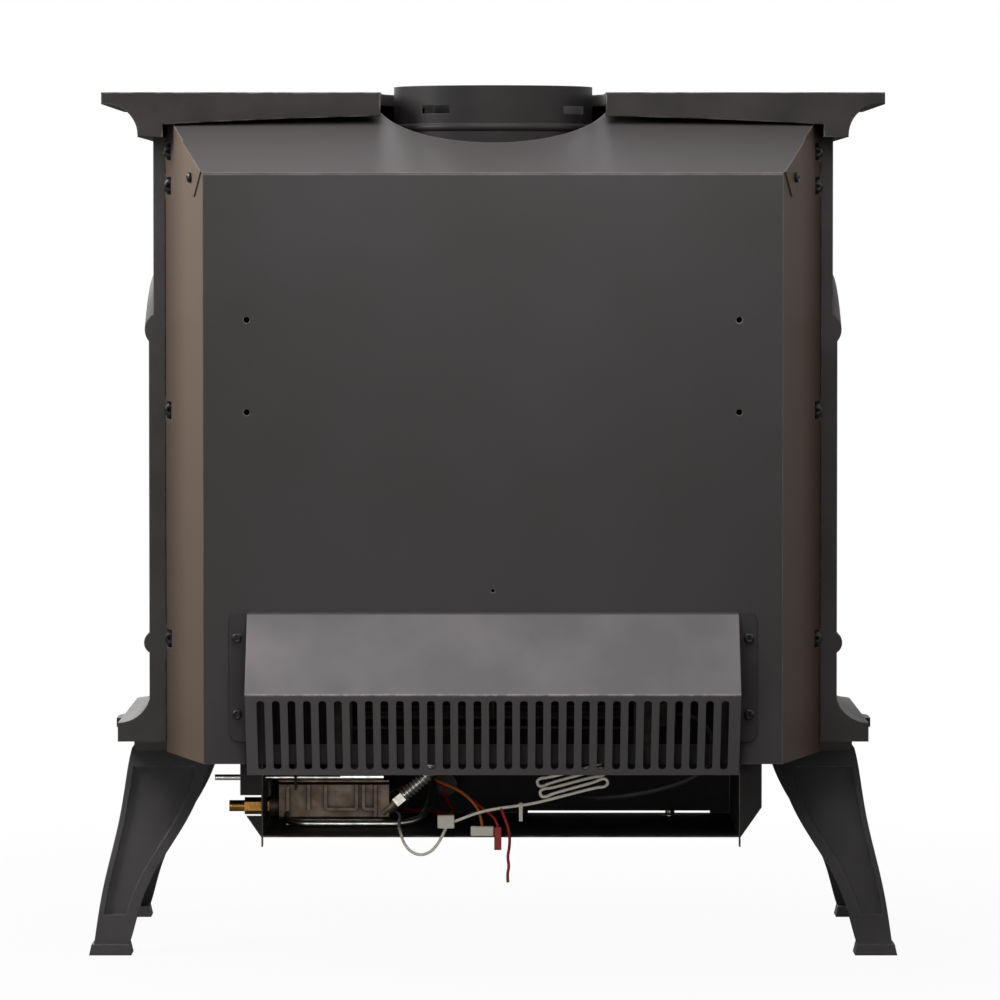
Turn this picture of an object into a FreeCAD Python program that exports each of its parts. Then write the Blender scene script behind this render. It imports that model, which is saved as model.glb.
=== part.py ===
import FreeCAD, Part
import math
import os

# A direct-vent gas stove of cast iron with a sheet-metal shroud on its back.
# Millimetres. +Z is up, the front faces -Y and the back +Y. The floor is Z = 0.

V = FreeCAD.Vector
X_AXIS, Y_AXIS, Z_AXIS = V(1, 0, 0), V(0, 1, 0), V(0, 0, 1)

# Driving dimensions: the shroud on the back
PANEL_Y = 218.5
PANEL_INSET = 37.1
PANEL_BELOW_TOP = 68.5
PANEL_FOOT = 173.5
SHEET = 1.2
SHROUD_DEPTH = 135.0
SHROUD_MOUTH_GAP = 0.4
SHROUD_RISE = 52.0
SHROUD_FLANGE = 19.0
COLLAR_CUT_RADIUS = 100.0
EAR_START = 3.0
EAR_DEPTH = 72.0
EAR_DROP = 30.0
EAR_FOOT = 22.0
EAR_SCREW_SHARE = 0.6
NOTCH_HEIGHT = 15.0
NOTCH_DEPTH = 19.0
TOP_FLANGE = 14.0
TOP_FLANGE_INSET = 10.0
BOLT_SPAN = 406.4
BOLT_RISE = 76.2
BOLT_LOW_Z = 464.5
BOLT_HOLE_RADIUS = 2.5
PROBE_HOLE_RADIUS = 1.5
PROBE_HOLE_Z = 317.0

# Driving dimensions: the castings
CAST_DEPTH = 315.0
CAST_HALF = 287.0
CAST_WALL = 10.0
FIELD_PROUD = 4.0
BEAD_HEIGHT = 22.0
BEAD_PROUD = 7.5
ARCH_BEAD_DROP = 162.0
ARCH_BEAD_RISE = 42.0
FRONT_ARCH_RISE = 75.0
LOW_BEAD_Z = 266.0
LOW_BEAD_HEIGHT = 17.0
LOW_BEAD_PROUD = 4.6
FLARE_TOP_Z = 218.0
FLARE_EDGE_Z = 198.0
FLARE_OUT = 31.0
LUG_REACH = 16.0
LUG_HEIGHT = 22.0
LUG_DEPTH = 18.0
LUG_LOW_Z = (270.0, 463.0)
LUG_DROPS = (41.0, 12.0)
JOINT_GAP = 0.5

# Driving dimensions: the top
TOP_Z = 730.5
TOP_HEIGHT = 37.5
LIP_THICK = 10.0
LIP_OVERHANG = 30.5
LIP_FRONT_OVERHANG = 38.0
COVE_OVERHANG = 11.5
COVE_RADIUS = 26.0
TOP_REAR_Y = 115.5
TOP_CORNER_RADIUS = 14.0
TOP_RIM = 21.0
TOP_REAR_WALL = 5.0
REAR_ARCH_DROP = 27.0
REAR_ARCH_RISE = 8.0
NOTCH_RADIUS = 94.6

# Driving dimensions: the base and the legs
BASE_THICK = 8.0
BASE_TOP = 182.0
BASE_OVERHANG = 17.0
SHELF_OVERHANG = 31.0
SHELF_FRONT_Y = -276.5
SHELF_REACH = 80.0
SHELF_CORNER_RADIUS = 46.0
BASE_OPENING_HALF = 120.0
BASE_OPENING_DEPTH = 80.0
BASE_OPENING_INSET = 6.0
LEG_OVERHANG = 4.0
LEG_SPLAY = 35.0
LEG_REAR_FOOT_Y = 81.5
LEG_WALL = 8.0
# Each station: drop below the base, how far the corner has moved out, width of each web
LEG_STATIONS = ((0.0, 0.0, 68.0), (30.0, 5.5, 66.0), (63.0, 11.0, 57.0), (108.0, 21.5, 40.0),
                (144.0, 28.0, 33.0))
LEG_ANKLE_OUT = 31.0
LEG_ANKLE_WEB = 30.0
LEG_PANEL_Z = (34.0, 158.0)
LEG_PANEL_DEPTH = 3.5
LEG_OUTER_RIM = 5.0
LEG_INNER_RIM = 10.0
LEG_FLANGE = 50.0
LEG_BOLT_RADIUS = 5.0
LEG_BOLT_INSET = 30.0
LEG_BOLT_HEAD = 16.0
LEG_BOLT_HEAD_HEIGHT = 6.0
PAD_SIZE = 36.0
PAD_TAPER = 2.0
PAD_HEIGHT = 9.0

# Driving dimensions: the flue
COLLAR_Y = 51.5
COLLAR_RADIUS = 84.15
COLLAR_WALL = 1.2
COLLAR_RISE = 5.5
COLLAR_BEAD_DROP = 35.0
COLLAR_BEAD_PROUD = 1.6
COLLAR_SLOT_DROP = 20.0
COLLAR_SLOT_WIDTH = 29.0
COLLAR_SLOT_HEIGHT = 6.7
COLLAR_SLOT_ANGLE = 35.5
COLLAR_FLANGE = 12.0
INNER_COLLAR_RADIUS = 50.8
INNER_COLLAR_DROP = 10.0

# Driving dimensions: the firebox and the glass
FIREBOX_CLEARANCE = 7.5
FIREBOX_FRONT_Y = -188.0
FIREBOX_REAR_Y = 140.0
FIREBOX_BELOW_PANEL = 2.0
FIREBOX_WALL = 2.0
WINDOW_INSET = 42.0
WINDOW_SILL = 300.0
WINDOW_BEAD_GAP = 35.0
WINDOW_MOULD = 12.0
GLASS_LAP = 15.0
GLASS_DROP = 75.0
GLASS_THICK = 5.0
GASKET_THICK = 3.0
GASKET_WIDTH = 9.0
FRAME_RIM = 8.0
FRAME_LIP = 13.0
FRAME_THICK = 3.0
GLASS_GAP = 0.5
LATCH_PIN_RADIUS = 3.0
LATCH_THICK = 3.0
LATCH_WIDTH = 14.0
LATCH_LENGTH = 30.0
LATCH_Z = 435.0
LATCH_GAP = 0.3
RUNNING_GAP = 0.05

# Driving dimensions: the blower and its cover
COVER_INSET = 36.3
COVER_TOP_Z = 299.7
COVER_BEND_Z = 234.4
COVER_BEND_OUT = 58.0
COVER_FOOT_Z = 164.7
COVER_FOOT_OUT = 4.0
COVER_FLANGE = 15.0
COVER_FLANGE_LOW_Z = 192.0
COVER_FLANGE_CORNER = 8.0
COVER_SCREW_OUT = 8.3
COVER_SCREW_Z = (214.7, 278.0)
SLOT_COUNT = 31
SLOT_LENGTH = 76.0
BLOWER_OPENING_INSET = 15.2
BLOWER_OPENING_LOW_Z = 190.0
BLOWER_OPENING_HIGH_Z = 290.0
BLOWER_HALF = 118.0
BLOWER_AXIS_Y = 180.0
BLOWER_AXIS_Z = 232.0
HOUSING_RADIUS = 32.0
HOUSING_WALL = 1.5
STRAP_WIDTH = 14.0
STRAP_LAP = 12.0
ROTOR_RADIUS = 25.0
ROTOR_GAP = 4.0
BLADE_COUNT = 24
BLADE_DEPTH = 7.0
BLADE_THICK = 1.0
DISC_THICK = 1.6
SHAFT_RADIUS = 3.0
MOTOR_RADIUS = 26.0
MOTOR_LENGTH = 34.0

# Driving dimensions: the valve tray and the gas train
TRAY_X = -6.6
TRAY_HALF = 199.0
TRAY_FLOOR_Z = 111.0
TRAY_REAR_Y = 198.5
TRAY_FRONT_Y = -27.5
TRAY_FLANGE = 17.5
TRAY_CHAMFER = 25.0
TRAY_NOTCH_Z = (129.0, 146.0)
TRAY_SLOT_X = (-187.0, -30.0)
TRAY_SLOT_HEIGHT = 1.8
TRAY_LIP = 14.0
TRAY_TAB_DROP = 8.0
TRAY_TAB_DEPTH = 14.0
KNOB_DOOR_X = (92.0, 178.0)
KNOB_DOOR_Z = (119.0, 143.0)
VALVE_X = (88.0, 181.0)
VALVE_Y = (39.5, 99.5)
VALVE_Z = (117.0, 149.0)
VALVE_RIB = 2.5
# Upright ribs of the valve: place across its width, foot and head as shares of its height
VALVE_RIBS = ((0.08, 0.08, 0.88), (0.27, 0.25, 0.92), (0.425, 0.28, 0.92), (0.704, 0.28, 0.92),
              (0.769, 0.28, 0.92), (0.876, 0.08, 0.92))
VALVE_BAND_SHARE = 0.28
VALVE_BANDS = ((0.425, 0.704), (0.769, 0.876))
VALVE_EDGE = 1.5
BRACKET_THICK = 2.0
NECK_RADIUS = 9.0
NECK_LENGTH = 9.0
INLET_Y = 70.0
INLET_Z = 126.5
INLET_HEX = 12.7
INLET_HEX_LENGTH = 21.0
INLET_STUB_RADIUS = 4.76
INLET_STUB_LENGTH = 13.0
STEM_RADIUS = 4.0
STEM_LENGTH = 16.0
KNOB_GAP = 1.5
KNOB_Z = 133.0
GAS_KNOB_X = 155.0
GAS_KNOB_RADIUS = 16.0
FLAME_KNOB_X = 112.0
FLAME_KNOB_RADIUS = 12.0
KNOB_LENGTH = 20.0
KNOB_GRIP = 7.0
KNOB_GRIP_SHARE = 0.9
IGNITER_X = 40.0
IGNITER_Z = 140.0
IGNITER_RADIUS = 9.0
IGNITER_LENGTH = 44.0
IGNITER_FLANGE = 3.0
BUTTON_RADIUS = 5.5
BUTTON_PROUD = 11.0
BUTTON_TRAVEL = 8.0
BUTTON_STEM = 14.0
PILOT_TUBE_RADIUS = 3.0
FLEX_Y = 92.0
FLEX_CREST = 5.6
FLEX_VALLEY = 4.4
FLEX_BORE = 3.4
FLEX_PITCH = 3.4
FLEX_RISE = 40.0
FLEX_STRAIGHT_RIBS = 6
FLEX_BEND_RIBS = 5
FLEX_UPRIGHT_RIBS = 3
FLEX_START_Z = 122.0
FLEX_BOSS_LENGTH = 14.0
FLEX_NUT_HEX = 13.0
FLEX_NUT_LENGTH = 9.0
FLEX_NUT_LAP = 0.85
MIXER_X = 110.0
MIXER_Y = 124.0
MIXER_RADIUS = 16.0
MIXER_WALL = 1.5
ROD_RADIUS = 2.5
ROD_Z = 155.0
ROD_END_X = 234.0
SHUTTER_THICK = 1.5
SHUTTER_SIZE = 36.0
SHUTTER_GAP = 0.6
GUIDE_X = 165.0
GUIDE_WIDTH = 20.0

# Driving dimensions: what burns
BURNER_HALF = 160.0
BURNER_Y = (-100.0, 134.0)
BURNER_HEIGHT = 30.0
BURNER_WALL = 1.5
PORT_COUNT = 14
PORT_RADIUS = 2.5
GRATE_BAR = 9.0
GRATE_BARS = 7
GRATE_DEPTH = 170.0
GRATE_TINE = 34.0
LOG_RADIUS = 37.0
LOG_SWAY = 2.1
LOG_SWAY_SHARE = 0.125
LOG_REAR_INSET = 59.2
LOG_FRONT_INSET = 55.5
SETTLE_STEPS = 8
PILOT_X = -185.0
PILOT_WIDTH = 24.0
PILOT_HEIGHT = 50.0
HOOD_HEIGHT = 60.0
PROBE_HEIGHT = 65.0
SPARK_RADIUS = 1.5
SPARK_OFFSET = 9.2
LOG_GAP = 0.3
LOG_THIN_SHARE = 0.8

# Driving dimensions: fasteners
SCREW_GAP = 0.15
SMALL_HEAD_RADIUS = 4.2
SMALL_HEAD_HEIGHT = 3.0
SMALL_SHANK_RADIUS = 2.0
SMALL_SHANK_LENGTH = 9.0
LUG_HEAD_RADIUS = 6.0
LUG_HEAD_HEIGHT = 3.4
LUG_SHANK_RADIUS = 3.0
LUG_SHANK_LENGTH = 16.0
LUG_SCREW_INSET = 5.0

# Driving dimensions: the wiring
LEAD_RADIUS = 1.25
CABLE_RADIUS = 2.5
HANK_RUNS = 5
HANK_PITCH = 4.4
HANK_LENGTH = 50.0
HANK_TILT = 15.0
BEND_SHARE = 0.45
TERMINAL_BLOCK = 9.0
TERMINAL_DROP = 3.0
CONNECTOR_SIZE = (14.0, 8.0, 11.0)
FLAG_SIZE = (19.0, 7.0, 8.0)
RED_TERMINAL_SIZE = (6.0, 5.0, 19.0)
TIE_WIDTH = 3.0
TIE_GAP = 0.3
TIE_THICK = 1.0
TIE_TAIL = 13.0

# Places that follow from the driving dimensions
BASE_UNDER = BASE_TOP - BASE_THICK
CAST_REAR_Y = PANEL_Y - SHROUD_DEPTH
CAST_FRONT_Y = CAST_REAR_Y - CAST_DEPTH
CAST_INNER = CAST_HALF - CAST_WALL
CAST_TOP = TOP_Z - TOP_HEIGHT
ARCH_BEAD_Z = CAST_TOP - ARCH_BEAD_DROP
LUG_Z = LUG_LOW_Z + tuple(CAST_TOP - drop for drop in LUG_DROPS)
COVE_HALF = CAST_HALF + COVE_OVERHANG
LIP_HALF = COVE_HALF + LIP_OVERHANG
REAR_ARCH_LOW_Z = TOP_Z - REAR_ARCH_DROP
BASE_HALF = CAST_HALF + BASE_OVERHANG
SHELF_HALF = BASE_HALF + SHELF_OVERHANG
LEG_TOP_X = BASE_HALF + LEG_OVERHANG
LEG_FOOT_X = LEG_TOP_X + LEG_SPLAY
SHROUD_MOUTH_HALF = CAST_INNER - SHROUD_MOUTH_GAP
PANEL_HALF = SHROUD_MOUTH_HALF - PANEL_INSET
PANEL_TOP = TOP_Z - PANEL_BELOW_TOP
COVER_HALF = PANEL_HALF - COVER_INSET
COVER_SCREW_X = COVER_HALF + COVER_SCREW_OUT
SLOT_PITCH = 2 * COVER_HALF / (SLOT_COUNT + 1)
SLOT_WIDTH = SLOT_PITCH / 2
BLOWER_OPENING_HALF = COVER_HALF - BLOWER_OPENING_INSET
COLLAR_TOP = TOP_Z + COLLAR_RISE
COLLAR_BEAD_Z = COLLAR_TOP - COLLAR_BEAD_DROP
COLLAR_SLOT_Z = COLLAR_TOP - COLLAR_SLOT_DROP
INNER_COLLAR_TOP = COLLAR_TOP - INNER_COLLAR_DROP
FIREBOX_HALF = PANEL_HALF - FIREBOX_CLEARANCE
FIREBOX_TOP = PANEL_TOP - FIREBOX_BELOW_PANEL
WINDOW_HALF = FIREBOX_HALF - WINDOW_INSET
GLASS_HALF = WINDOW_HALF + GLASS_LAP
GLASS_LOW = WINDOW_SILL - GLASS_LAP
GLASS_HIGH = FIREBOX_TOP - GLASS_DROP
FRONT_INNER_Y = CAST_FRONT_Y + CAST_WALL
SLOPE = SHROUD_RISE / SHROUD_DEPTH
SLOPE_LENGTH = math.hypot(SHROUD_RISE, SHROUD_DEPTH)
SHEET_DROP = SHEET * SLOPE_LENGTH / SHROUD_DEPTH
PANEL_INNER_Y = PANEL_Y - SHEET
LIP_UNDER = TOP_Z - LIP_THICK
LIP_FRONT_Y = CAST_FRONT_Y - LIP_FRONT_OVERHANG
TRAY_TOP_FACE = TRAY_FLOOR_Z + SHEET
FIREBOX_FLOOR_Z = BASE_TOP + FIREBOX_WALL
FIREBOX_ROOF_Z = FIREBOX_TOP - FIREBOX_WALL
GASKET_Y = FIREBOX_FRONT_Y - GASKET_THICK
GLASS_Y = GASKET_Y - GLASS_THICK
FRAME_Y = GLASS_Y - FRAME_THICK
LATCH_X = GLASS_HALF + GLASS_GAP + FRAME_RIM + LATCH_WIDTH / 2 + GLASS_GAP
GRATE_Z = FIREBOX_FLOOR_Z + BURNER_HEIGHT
TRAY_LEFT_X = TRAY_X + TRAY_HALF
TRAY_RIGHT_X = TRAY_X - TRAY_HALF


# Small geometry helpers
def box(x, y, z):
    """Block between the pairs of limits x, y and z."""
    return Part.makeBox(x[1] - x[0], y[1] - y[0], z[1] - z[0], V(x[0], y[0], z[0]))


def rod(start, end, radius):
    """Round bar from one point to another."""
    return Part.makeCylinder(radius, (end - start).Length, start, end - start)


def tube(start, end, radius, wall):
    """Round tube with its outer radius and wall."""
    return rod(start, end, radius).cut(rod(start, end, radius - wall))


def line(start, end):
    return Part.LineSegment(start, end).toShape()


def arc(start, middle, end):
    return Part.Arc(start, middle, end).toShape()


def bulge(start, end, rise):
    """Arc from start to end whose middle stands off the chord by the vector rise."""
    return arc(start, (start + end) * 0.5 + rise, end)


def face_of(edges):
    return Part.Face(Part.Wire(edges))


def polygon(points, push):
    """Flat polygon pushed along a vector."""
    return Part.Face(Part.makePolygon(points + points[:1])).extrude(push)


def hexagon(start, end, across_flats):
    """Six-sided bar from one point to another."""
    radius = across_flats / math.sqrt(3)
    axis = (end - start).normalize()
    side = axis.cross(Y_AXIS).normalize()
    other = axis.cross(side)
    points = []
    for corner in range(6):
        turn = math.radians(60 * corner)
        points.append(start + side * (radius * math.cos(turn)) + other * (radius * math.sin(turn)))
    return polygon(points, end - start)


def mirror_x(shape):
    return shape.mirror(V(0, 0, 0), X_AXIS)


def both_sides(shape):
    """The shape and its twin on the other side, as two solids."""
    return Part.makeCompound([shape, mirror_x(shape)])


def screw(seat, outward, head, shank):
    """Pan-head screw: the head stands out from its seat and the shank goes in."""
    head_radius, head_height = head
    shank_radius, shank_length = shank
    crown = head_height / 3
    shoulder = seat + outward * (head_height - crown)
    body = rod(seat, shoulder, head_radius)
    dome = Part.makeCone(head_radius, head_radius - crown, crown, shoulder, outward)
    return body.fuse([dome, rod(seat, seat - outward * shank_length, shank_radius)]).removeSplitter()


def screw_hole(seat, outward, shank):
    """Clearance hole for a screw, through everything that its shank meets."""
    shank_radius, shank_length = shank
    return rod(seat + outward * SHEET, seat - outward * (shank_length + SCREW_GAP), shank_radius + SCREW_GAP)


SMALL_HEAD = (SMALL_HEAD_RADIUS, SMALL_HEAD_HEIGHT)
SMALL_SHANK = (SMALL_SHANK_RADIUS, SMALL_SHANK_LENGTH)
LUG_HEAD = (LUG_HEAD_RADIUS, LUG_HEAD_HEIGHT)
LUG_SHANK = (LUG_SHANK_RADIUS, LUG_SHANK_LENGTH)


# Screw places, shared by the screws and by what they hold
def lug_seats():
    x = CAST_INNER - LUG_SCREW_INSET
    return [V(x, CAST_REAR_Y + SHEET, z) for z in LUG_Z]


def cover_seats():
    return [V(COVER_SCREW_X, PANEL_Y + SHEET, z) for z in COVER_SCREW_Z]


def slant():
    """Direction along the shroud's slanting side, and its outward normal."""
    along = V(SHROUD_MOUTH_HALF - PANEL_HALF, -SHROUD_DEPTH, 0)
    along.normalize()
    return along, V(-along.y, along.x, 0)


def on_slant(distance, drop):
    """Point on the slanting side, a distance from the rear corner and a drop below the sloping top."""
    along, outward = slant()
    point = V(PANEL_HALF, PANEL_Y, 0) + along * distance
    return V(point.x, point.y, PANEL_TOP + (PANEL_Y - point.y) * SLOPE - drop)


def ear_seat():
    along, outward = slant()
    return on_slant(EAR_DEPTH / 2 + EAR_START, EAR_DROP * EAR_SCREW_SHARE) + outward * SHEET


# The castings
def moulded_section(bead_height):
    """Section of a cast wall: inside at X = 0, with the flared foot and both beads."""
    field = CAST_WALL + FIELD_PROUD
    flare = CAST_WALL + FLARE_OUT
    low_bead = (LOW_BEAD_Z - LOW_BEAD_HEIGHT / 2, LOW_BEAD_Z + LOW_BEAD_HEIGHT / 2)
    high_bead = (ARCH_BEAD_Z - bead_height / 2, ARCH_BEAD_Z + bead_height / 2)
    corners = [V(0, 0, CAST_TOP), V(0, 0, BASE_TOP), V(flare, 0, BASE_TOP), V(flare, 0, FLARE_EDGE_Z)]
    edges = [line(a, b) for a, b in zip(corners, corners[1:])]
    cove_end = V(field, 0, FLARE_TOP_Z)
    cove_bulge = V(-FIELD_PROUD, 0, -FIELD_PROUD)
    edges.append(bulge(corners[-1], cove_end, cove_bulge))
    edges.append(line(cove_end, V(field, 0, low_bead[0])))
    edges.append(bulge(V(field, 0, low_bead[0]), V(field, 0, low_bead[1]), V(LOW_BEAD_PROUD, 0, 0)))
    edges.append(line(V(field, 0, low_bead[1]), V(field, 0, high_bead[0])))
    edges.append(arc(V(field, 0, high_bead[0]), V(CAST_WALL + BEAD_PROUD, 0, ARCH_BEAD_Z),
                     V(CAST_WALL, 0, high_bead[1])))
    edges.append(line(V(CAST_WALL, 0, high_bead[1]), V(CAST_WALL, 0, CAST_TOP)))
    edges.append(line(V(CAST_WALL, 0, CAST_TOP), corners[0]))
    return face_of(edges)


def moulded_wall(length, rise):
    """Cast wall along +Y, its outside towards +X, with a raised field under an arched bead."""
    field = CAST_WALL + FIELD_PROUD
    plain_top = ARCH_BEAD_Z - BEAD_HEIGHT
    lower = moulded_section(BEAD_HEIGHT).extrude(V(0, length, 0))
    lower = lower.common(box((0, CAST_WALL + FLARE_OUT), (0, length), (BASE_TOP, plain_top)))
    upper = box((0, CAST_WALL), (0, length), (plain_top, CAST_TOP))
    spring = [V(0, 0, ARCH_BEAD_Z), V(0, length, ARCH_BEAD_Z)]
    sill = [V(0, length, plain_top), V(0, 0, plain_top)]
    raised = face_of([bulge(spring[0], spring[1], V(0, 0, rise)), line(spring[1], sill[0]),
                      line(sill[0], sill[1]), line(sill[1], spring[0])]).extrude(V(field, 0, 0))
    arch_radius = (length * length / 4 + rise * rise) / (2 * rise)
    bead_radius = (BEAD_HEIGHT * BEAD_HEIGHT / 4 + BEAD_PROUD * BEAD_PROUD) / (2 * BEAD_PROUD)
    centre = V(CAST_WALL + BEAD_PROUD - bead_radius, length / 2, ARCH_BEAD_Z + rise - arch_radius)
    bead = Part.makeTorus(arch_radius, bead_radius, centre, X_AXIS)
    reach = (plain_top, ARCH_BEAD_Z + rise + BEAD_HEIGHT)
    bead = bead.common(box((CAST_WALL / 2, CAST_WALL + BEAD_HEIGHT), (0, length), reach))
    return lower.fuse([upper, raised, bead]).removeSplitter()


def side_casting():
    """Left side: the wall, its rounded front corner and the lugs at its rear edge."""
    length = CAST_REAR_Y - FRONT_INNER_Y
    place = V(CAST_INNER, FRONT_INNER_Y, 0)
    wall = moulded_wall(length, ARCH_BEAD_RISE)
    end_turn = 2 * math.atan(2 * ARCH_BEAD_RISE / length)
    corner = moulded_section(BEAD_HEIGHT / math.cos(end_turn)).revolve(V(0, 0, 0), Z_AXIS, -90)
    casting = wall.fuse(corner).removeSplitter()
    casting.translate(place)
    for z in LUG_Z:
        lug = box((CAST_INNER - LUG_REACH, CAST_INNER), (CAST_REAR_Y - LUG_DEPTH, CAST_REAR_Y),
                  (z - LUG_HEIGHT / 2, z + LUG_HEIGHT / 2))
        casting = casting.fuse(lug)
    for seat in lug_seats():
        casting = casting.cut(screw_hole(seat, Y_AXIS, LUG_SHANK))
    return casting


def front_casting():
    """Front: the same mouldings round an arched window."""
    half = CAST_INNER - JOINT_GAP
    wall = moulded_wall(2 * half, FRONT_ARCH_RISE)
    wall.rotate(V(0, 0, 0), Z_AXIS, -90)
    wall.translate(V(-half, FRONT_INNER_Y, 0))
    arch_radius = (half * half + FRONT_ARCH_RISE ** 2) / (2 * FRONT_ARCH_RISE)
    crown = ARCH_BEAD_Z + FRONT_ARCH_RISE - WINDOW_BEAD_GAP
    mould = window_block(WINDOW_MOULD, arch_radius - WINDOW_BEAD_GAP, crown,
                         (CAST_FRONT_Y - FIELD_PROUD - WINDOW_MOULD / 2, FRONT_INNER_Y))
    opening = window_block(0, arch_radius - WINDOW_BEAD_GAP, crown,
                           (CAST_FRONT_Y - BEAD_HEIGHT, FRONT_INNER_Y + CAST_WALL))
    return wall.fuse(mould).removeSplitter().cut(opening)


def window_block(margin, radius, crown, depth):
    """Arched block the size of the window and a margin round it, between two depths."""
    half = WINDOW_HALF + margin
    low = WINDOW_SILL - margin
    spring = crown - radius + math.sqrt((radius + margin) ** 2 - half * half)
    foot = [V(-half, depth[0], low), V(half, depth[0], low)]
    shoulder = [V(half, depth[0], spring), V(-half, depth[0], spring)]
    edges = [line(foot[0], foot[1]), line(foot[1], shoulder[0]),
             arc(shoulder[0], V(0, depth[0], crown + margin), shoulder[1]), line(shoulder[1], foot[0])]
    return face_of(edges).extrude(V(0, depth[1] - depth[0], 0))


def plan_outline(half, front_y, rear_y, radius, z):
    """Rectangle in plan with its two front corners rounded."""
    inset = radius * (1 - math.sqrt(0.5))
    points = [V(half, rear_y, z), V(-half, rear_y, z), V(-half, front_y + radius, z),
              V(-half + radius, front_y, z), V(half - radius, front_y, z), V(half, front_y + radius, z)]
    return face_of([line(points[0], points[1]), line(points[1], points[2]),
                    arc(points[2], V(-half + inset, front_y + inset, z), points[3]),
                    line(points[3], points[4]),
                    arc(points[4], V(half - inset, front_y + inset, z), points[5]),
                    line(points[5], points[0])])


def top_casting():
    """Cast top: a lip over a coved skirt, hollow below, with a notch round the flue collar."""
    overhang = LIP_HALF - COVE_HALF
    skirt_front = LIP_FRONT_Y + overhang
    lip = plan_outline(LIP_HALF, LIP_FRONT_Y, TOP_REAR_Y, TOP_CORNER_RADIUS + overhang, LIP_UNDER)
    skirt = plan_outline(COVE_HALF, skirt_front, TOP_REAR_Y, TOP_CORNER_RADIUS, CAST_TOP)
    top = lip.extrude(V(0, 0, LIP_THICK)).fuse(skirt.extrude(V(0, 0, LIP_UNDER - CAST_TOP))).removeSplitter()
    cove_edges = []
    for edge in top.Edges:
        bounds = edge.BoundBox
        level = abs(bounds.ZMin - LIP_UNDER) < JOINT_GAP and abs(bounds.ZMax - LIP_UNDER) < JOINT_GAP
        inside_lip = bounds.XMax < COVE_HALF + JOINT_GAP and bounds.XMin > -COVE_HALF - JOINT_GAP
        if level and inside_lip and skirt_front - JOINT_GAP < bounds.YMin < TOP_REAR_Y - JOINT_GAP:
            cove_edges.append(edge)
    top = top.makeFillet(COVE_RADIUS, cove_edges)
    rim = COVE_HALF - TOP_RIM
    hollow = (skirt_front + TOP_RIM, TOP_REAR_Y - TOP_REAR_WALL)
    top = top.cut(box((-rim, rim), hollow, (CAST_TOP, LIP_UNDER)))
    arch = [V(-rim, TOP_REAR_Y, REAR_ARCH_LOW_Z), V(rim, TOP_REAR_Y, REAR_ARCH_LOW_Z)]
    foot = [V(rim, TOP_REAR_Y, CAST_TOP), V(-rim, TOP_REAR_Y, CAST_TOP)]
    rear_arch = face_of([bulge(arch[0], arch[1], V(0, 0, REAR_ARCH_RISE)),
                         line(arch[1], foot[0]), line(foot[0], foot[1]), line(foot[1], arch[0])])
    top = top.cut(rear_arch.extrude(V(0, -TOP_REAR_WALL, 0)))
    notch = rod(V(0, COLLAR_Y, CAST_TOP), V(0, COLLAR_Y, TOP_Z), NOTCH_RADIUS)
    notch = notch.fuse(box((-NOTCH_RADIUS, NOTCH_RADIUS), (COLLAR_Y, TOP_REAR_Y), (CAST_TOP, TOP_Z)))
    return top.cut(notch)


def base_casting():
    """Cast bottom: a plate that carries everything, with the hearth shelf in front."""
    rise = V(0, 0, BASE_THICK)
    shelf_rear_y = SHELF_FRONT_Y + SHELF_REACH
    shelf = plan_outline(SHELF_HALF, SHELF_FRONT_Y, shelf_rear_y, SHELF_CORNER_RADIUS, BASE_UNDER)
    plate_y = (shelf_rear_y - SHELF_REACH / 2, CAST_REAR_Y)
    plate = box((-BASE_HALF, BASE_HALF), plate_y, (BASE_UNDER, BASE_TOP))
    base = shelf.extrude(rise).fuse(plate).removeSplitter()
    opening_front = TRAY_FRONT_Y + BASE_OPENING_INSET
    base = base.cut(box((-BASE_OPENING_HALF, BASE_OPENING_HALF),
                        (opening_front, opening_front + BASE_OPENING_DEPTH), (BASE_UNDER, BASE_TOP)))
    for seat in leg_bolt_seats():
        base = base.cut(rod(seat, V(seat.x, seat.y, BASE_TOP), LEG_BOLT_RADIUS + SCREW_GAP))
    for seat in tray_seats():
        base = base.cut(screw_hole(seat, -Z_AXIS, SMALL_SHANK))
    return base


def leg_stations():
    """Stations down the leg, ending where it stands on its pad."""
    return LEG_STATIONS + ((BASE_UNDER - PAD_HEIGHT, LEG_ANKLE_OUT, LEG_ANKLE_WEB),)


def leg_corner(moved, drop):
    """Outer corner of the rear left leg, moved out from its place under the base."""
    splay = LEG_FOOT_X - LEG_TOP_X
    return V(LEG_TOP_X + moved, LEG_REAR_FOOT_Y - splay + moved, BASE_UNDER - drop)


def leg_loft(outline):
    """Smooth body down the leg, with the section that outline gives for each web width."""
    wires = []
    for drop, moved, web in leg_stations():
        corner = leg_corner(moved, drop)
        points = [corner + V(x, y, 0) for x, y in outline(web)]
        wires.append(Part.makePolygon(points + points[:1]))
    return Part.makeLoft(wires, True, False)


def angle_outline(web):
    wall = LEG_WALL
    return [(0, 0), (-web, 0), (-web, -wall), (-wall, -wall), (-wall, -web), (0, -web)]


def rear_recess_outline(web):
    inner = web - LEG_INNER_RIM
    return [(-LEG_OUTER_RIM, LEG_WALL), (-inner, LEG_WALL), (-inner, -LEG_PANEL_DEPTH),
            (-LEG_OUTER_RIM, -LEG_PANEL_DEPTH)]


def side_recess_outline(web):
    return [(y, x) for x, y in rear_recess_outline(web)]


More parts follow.
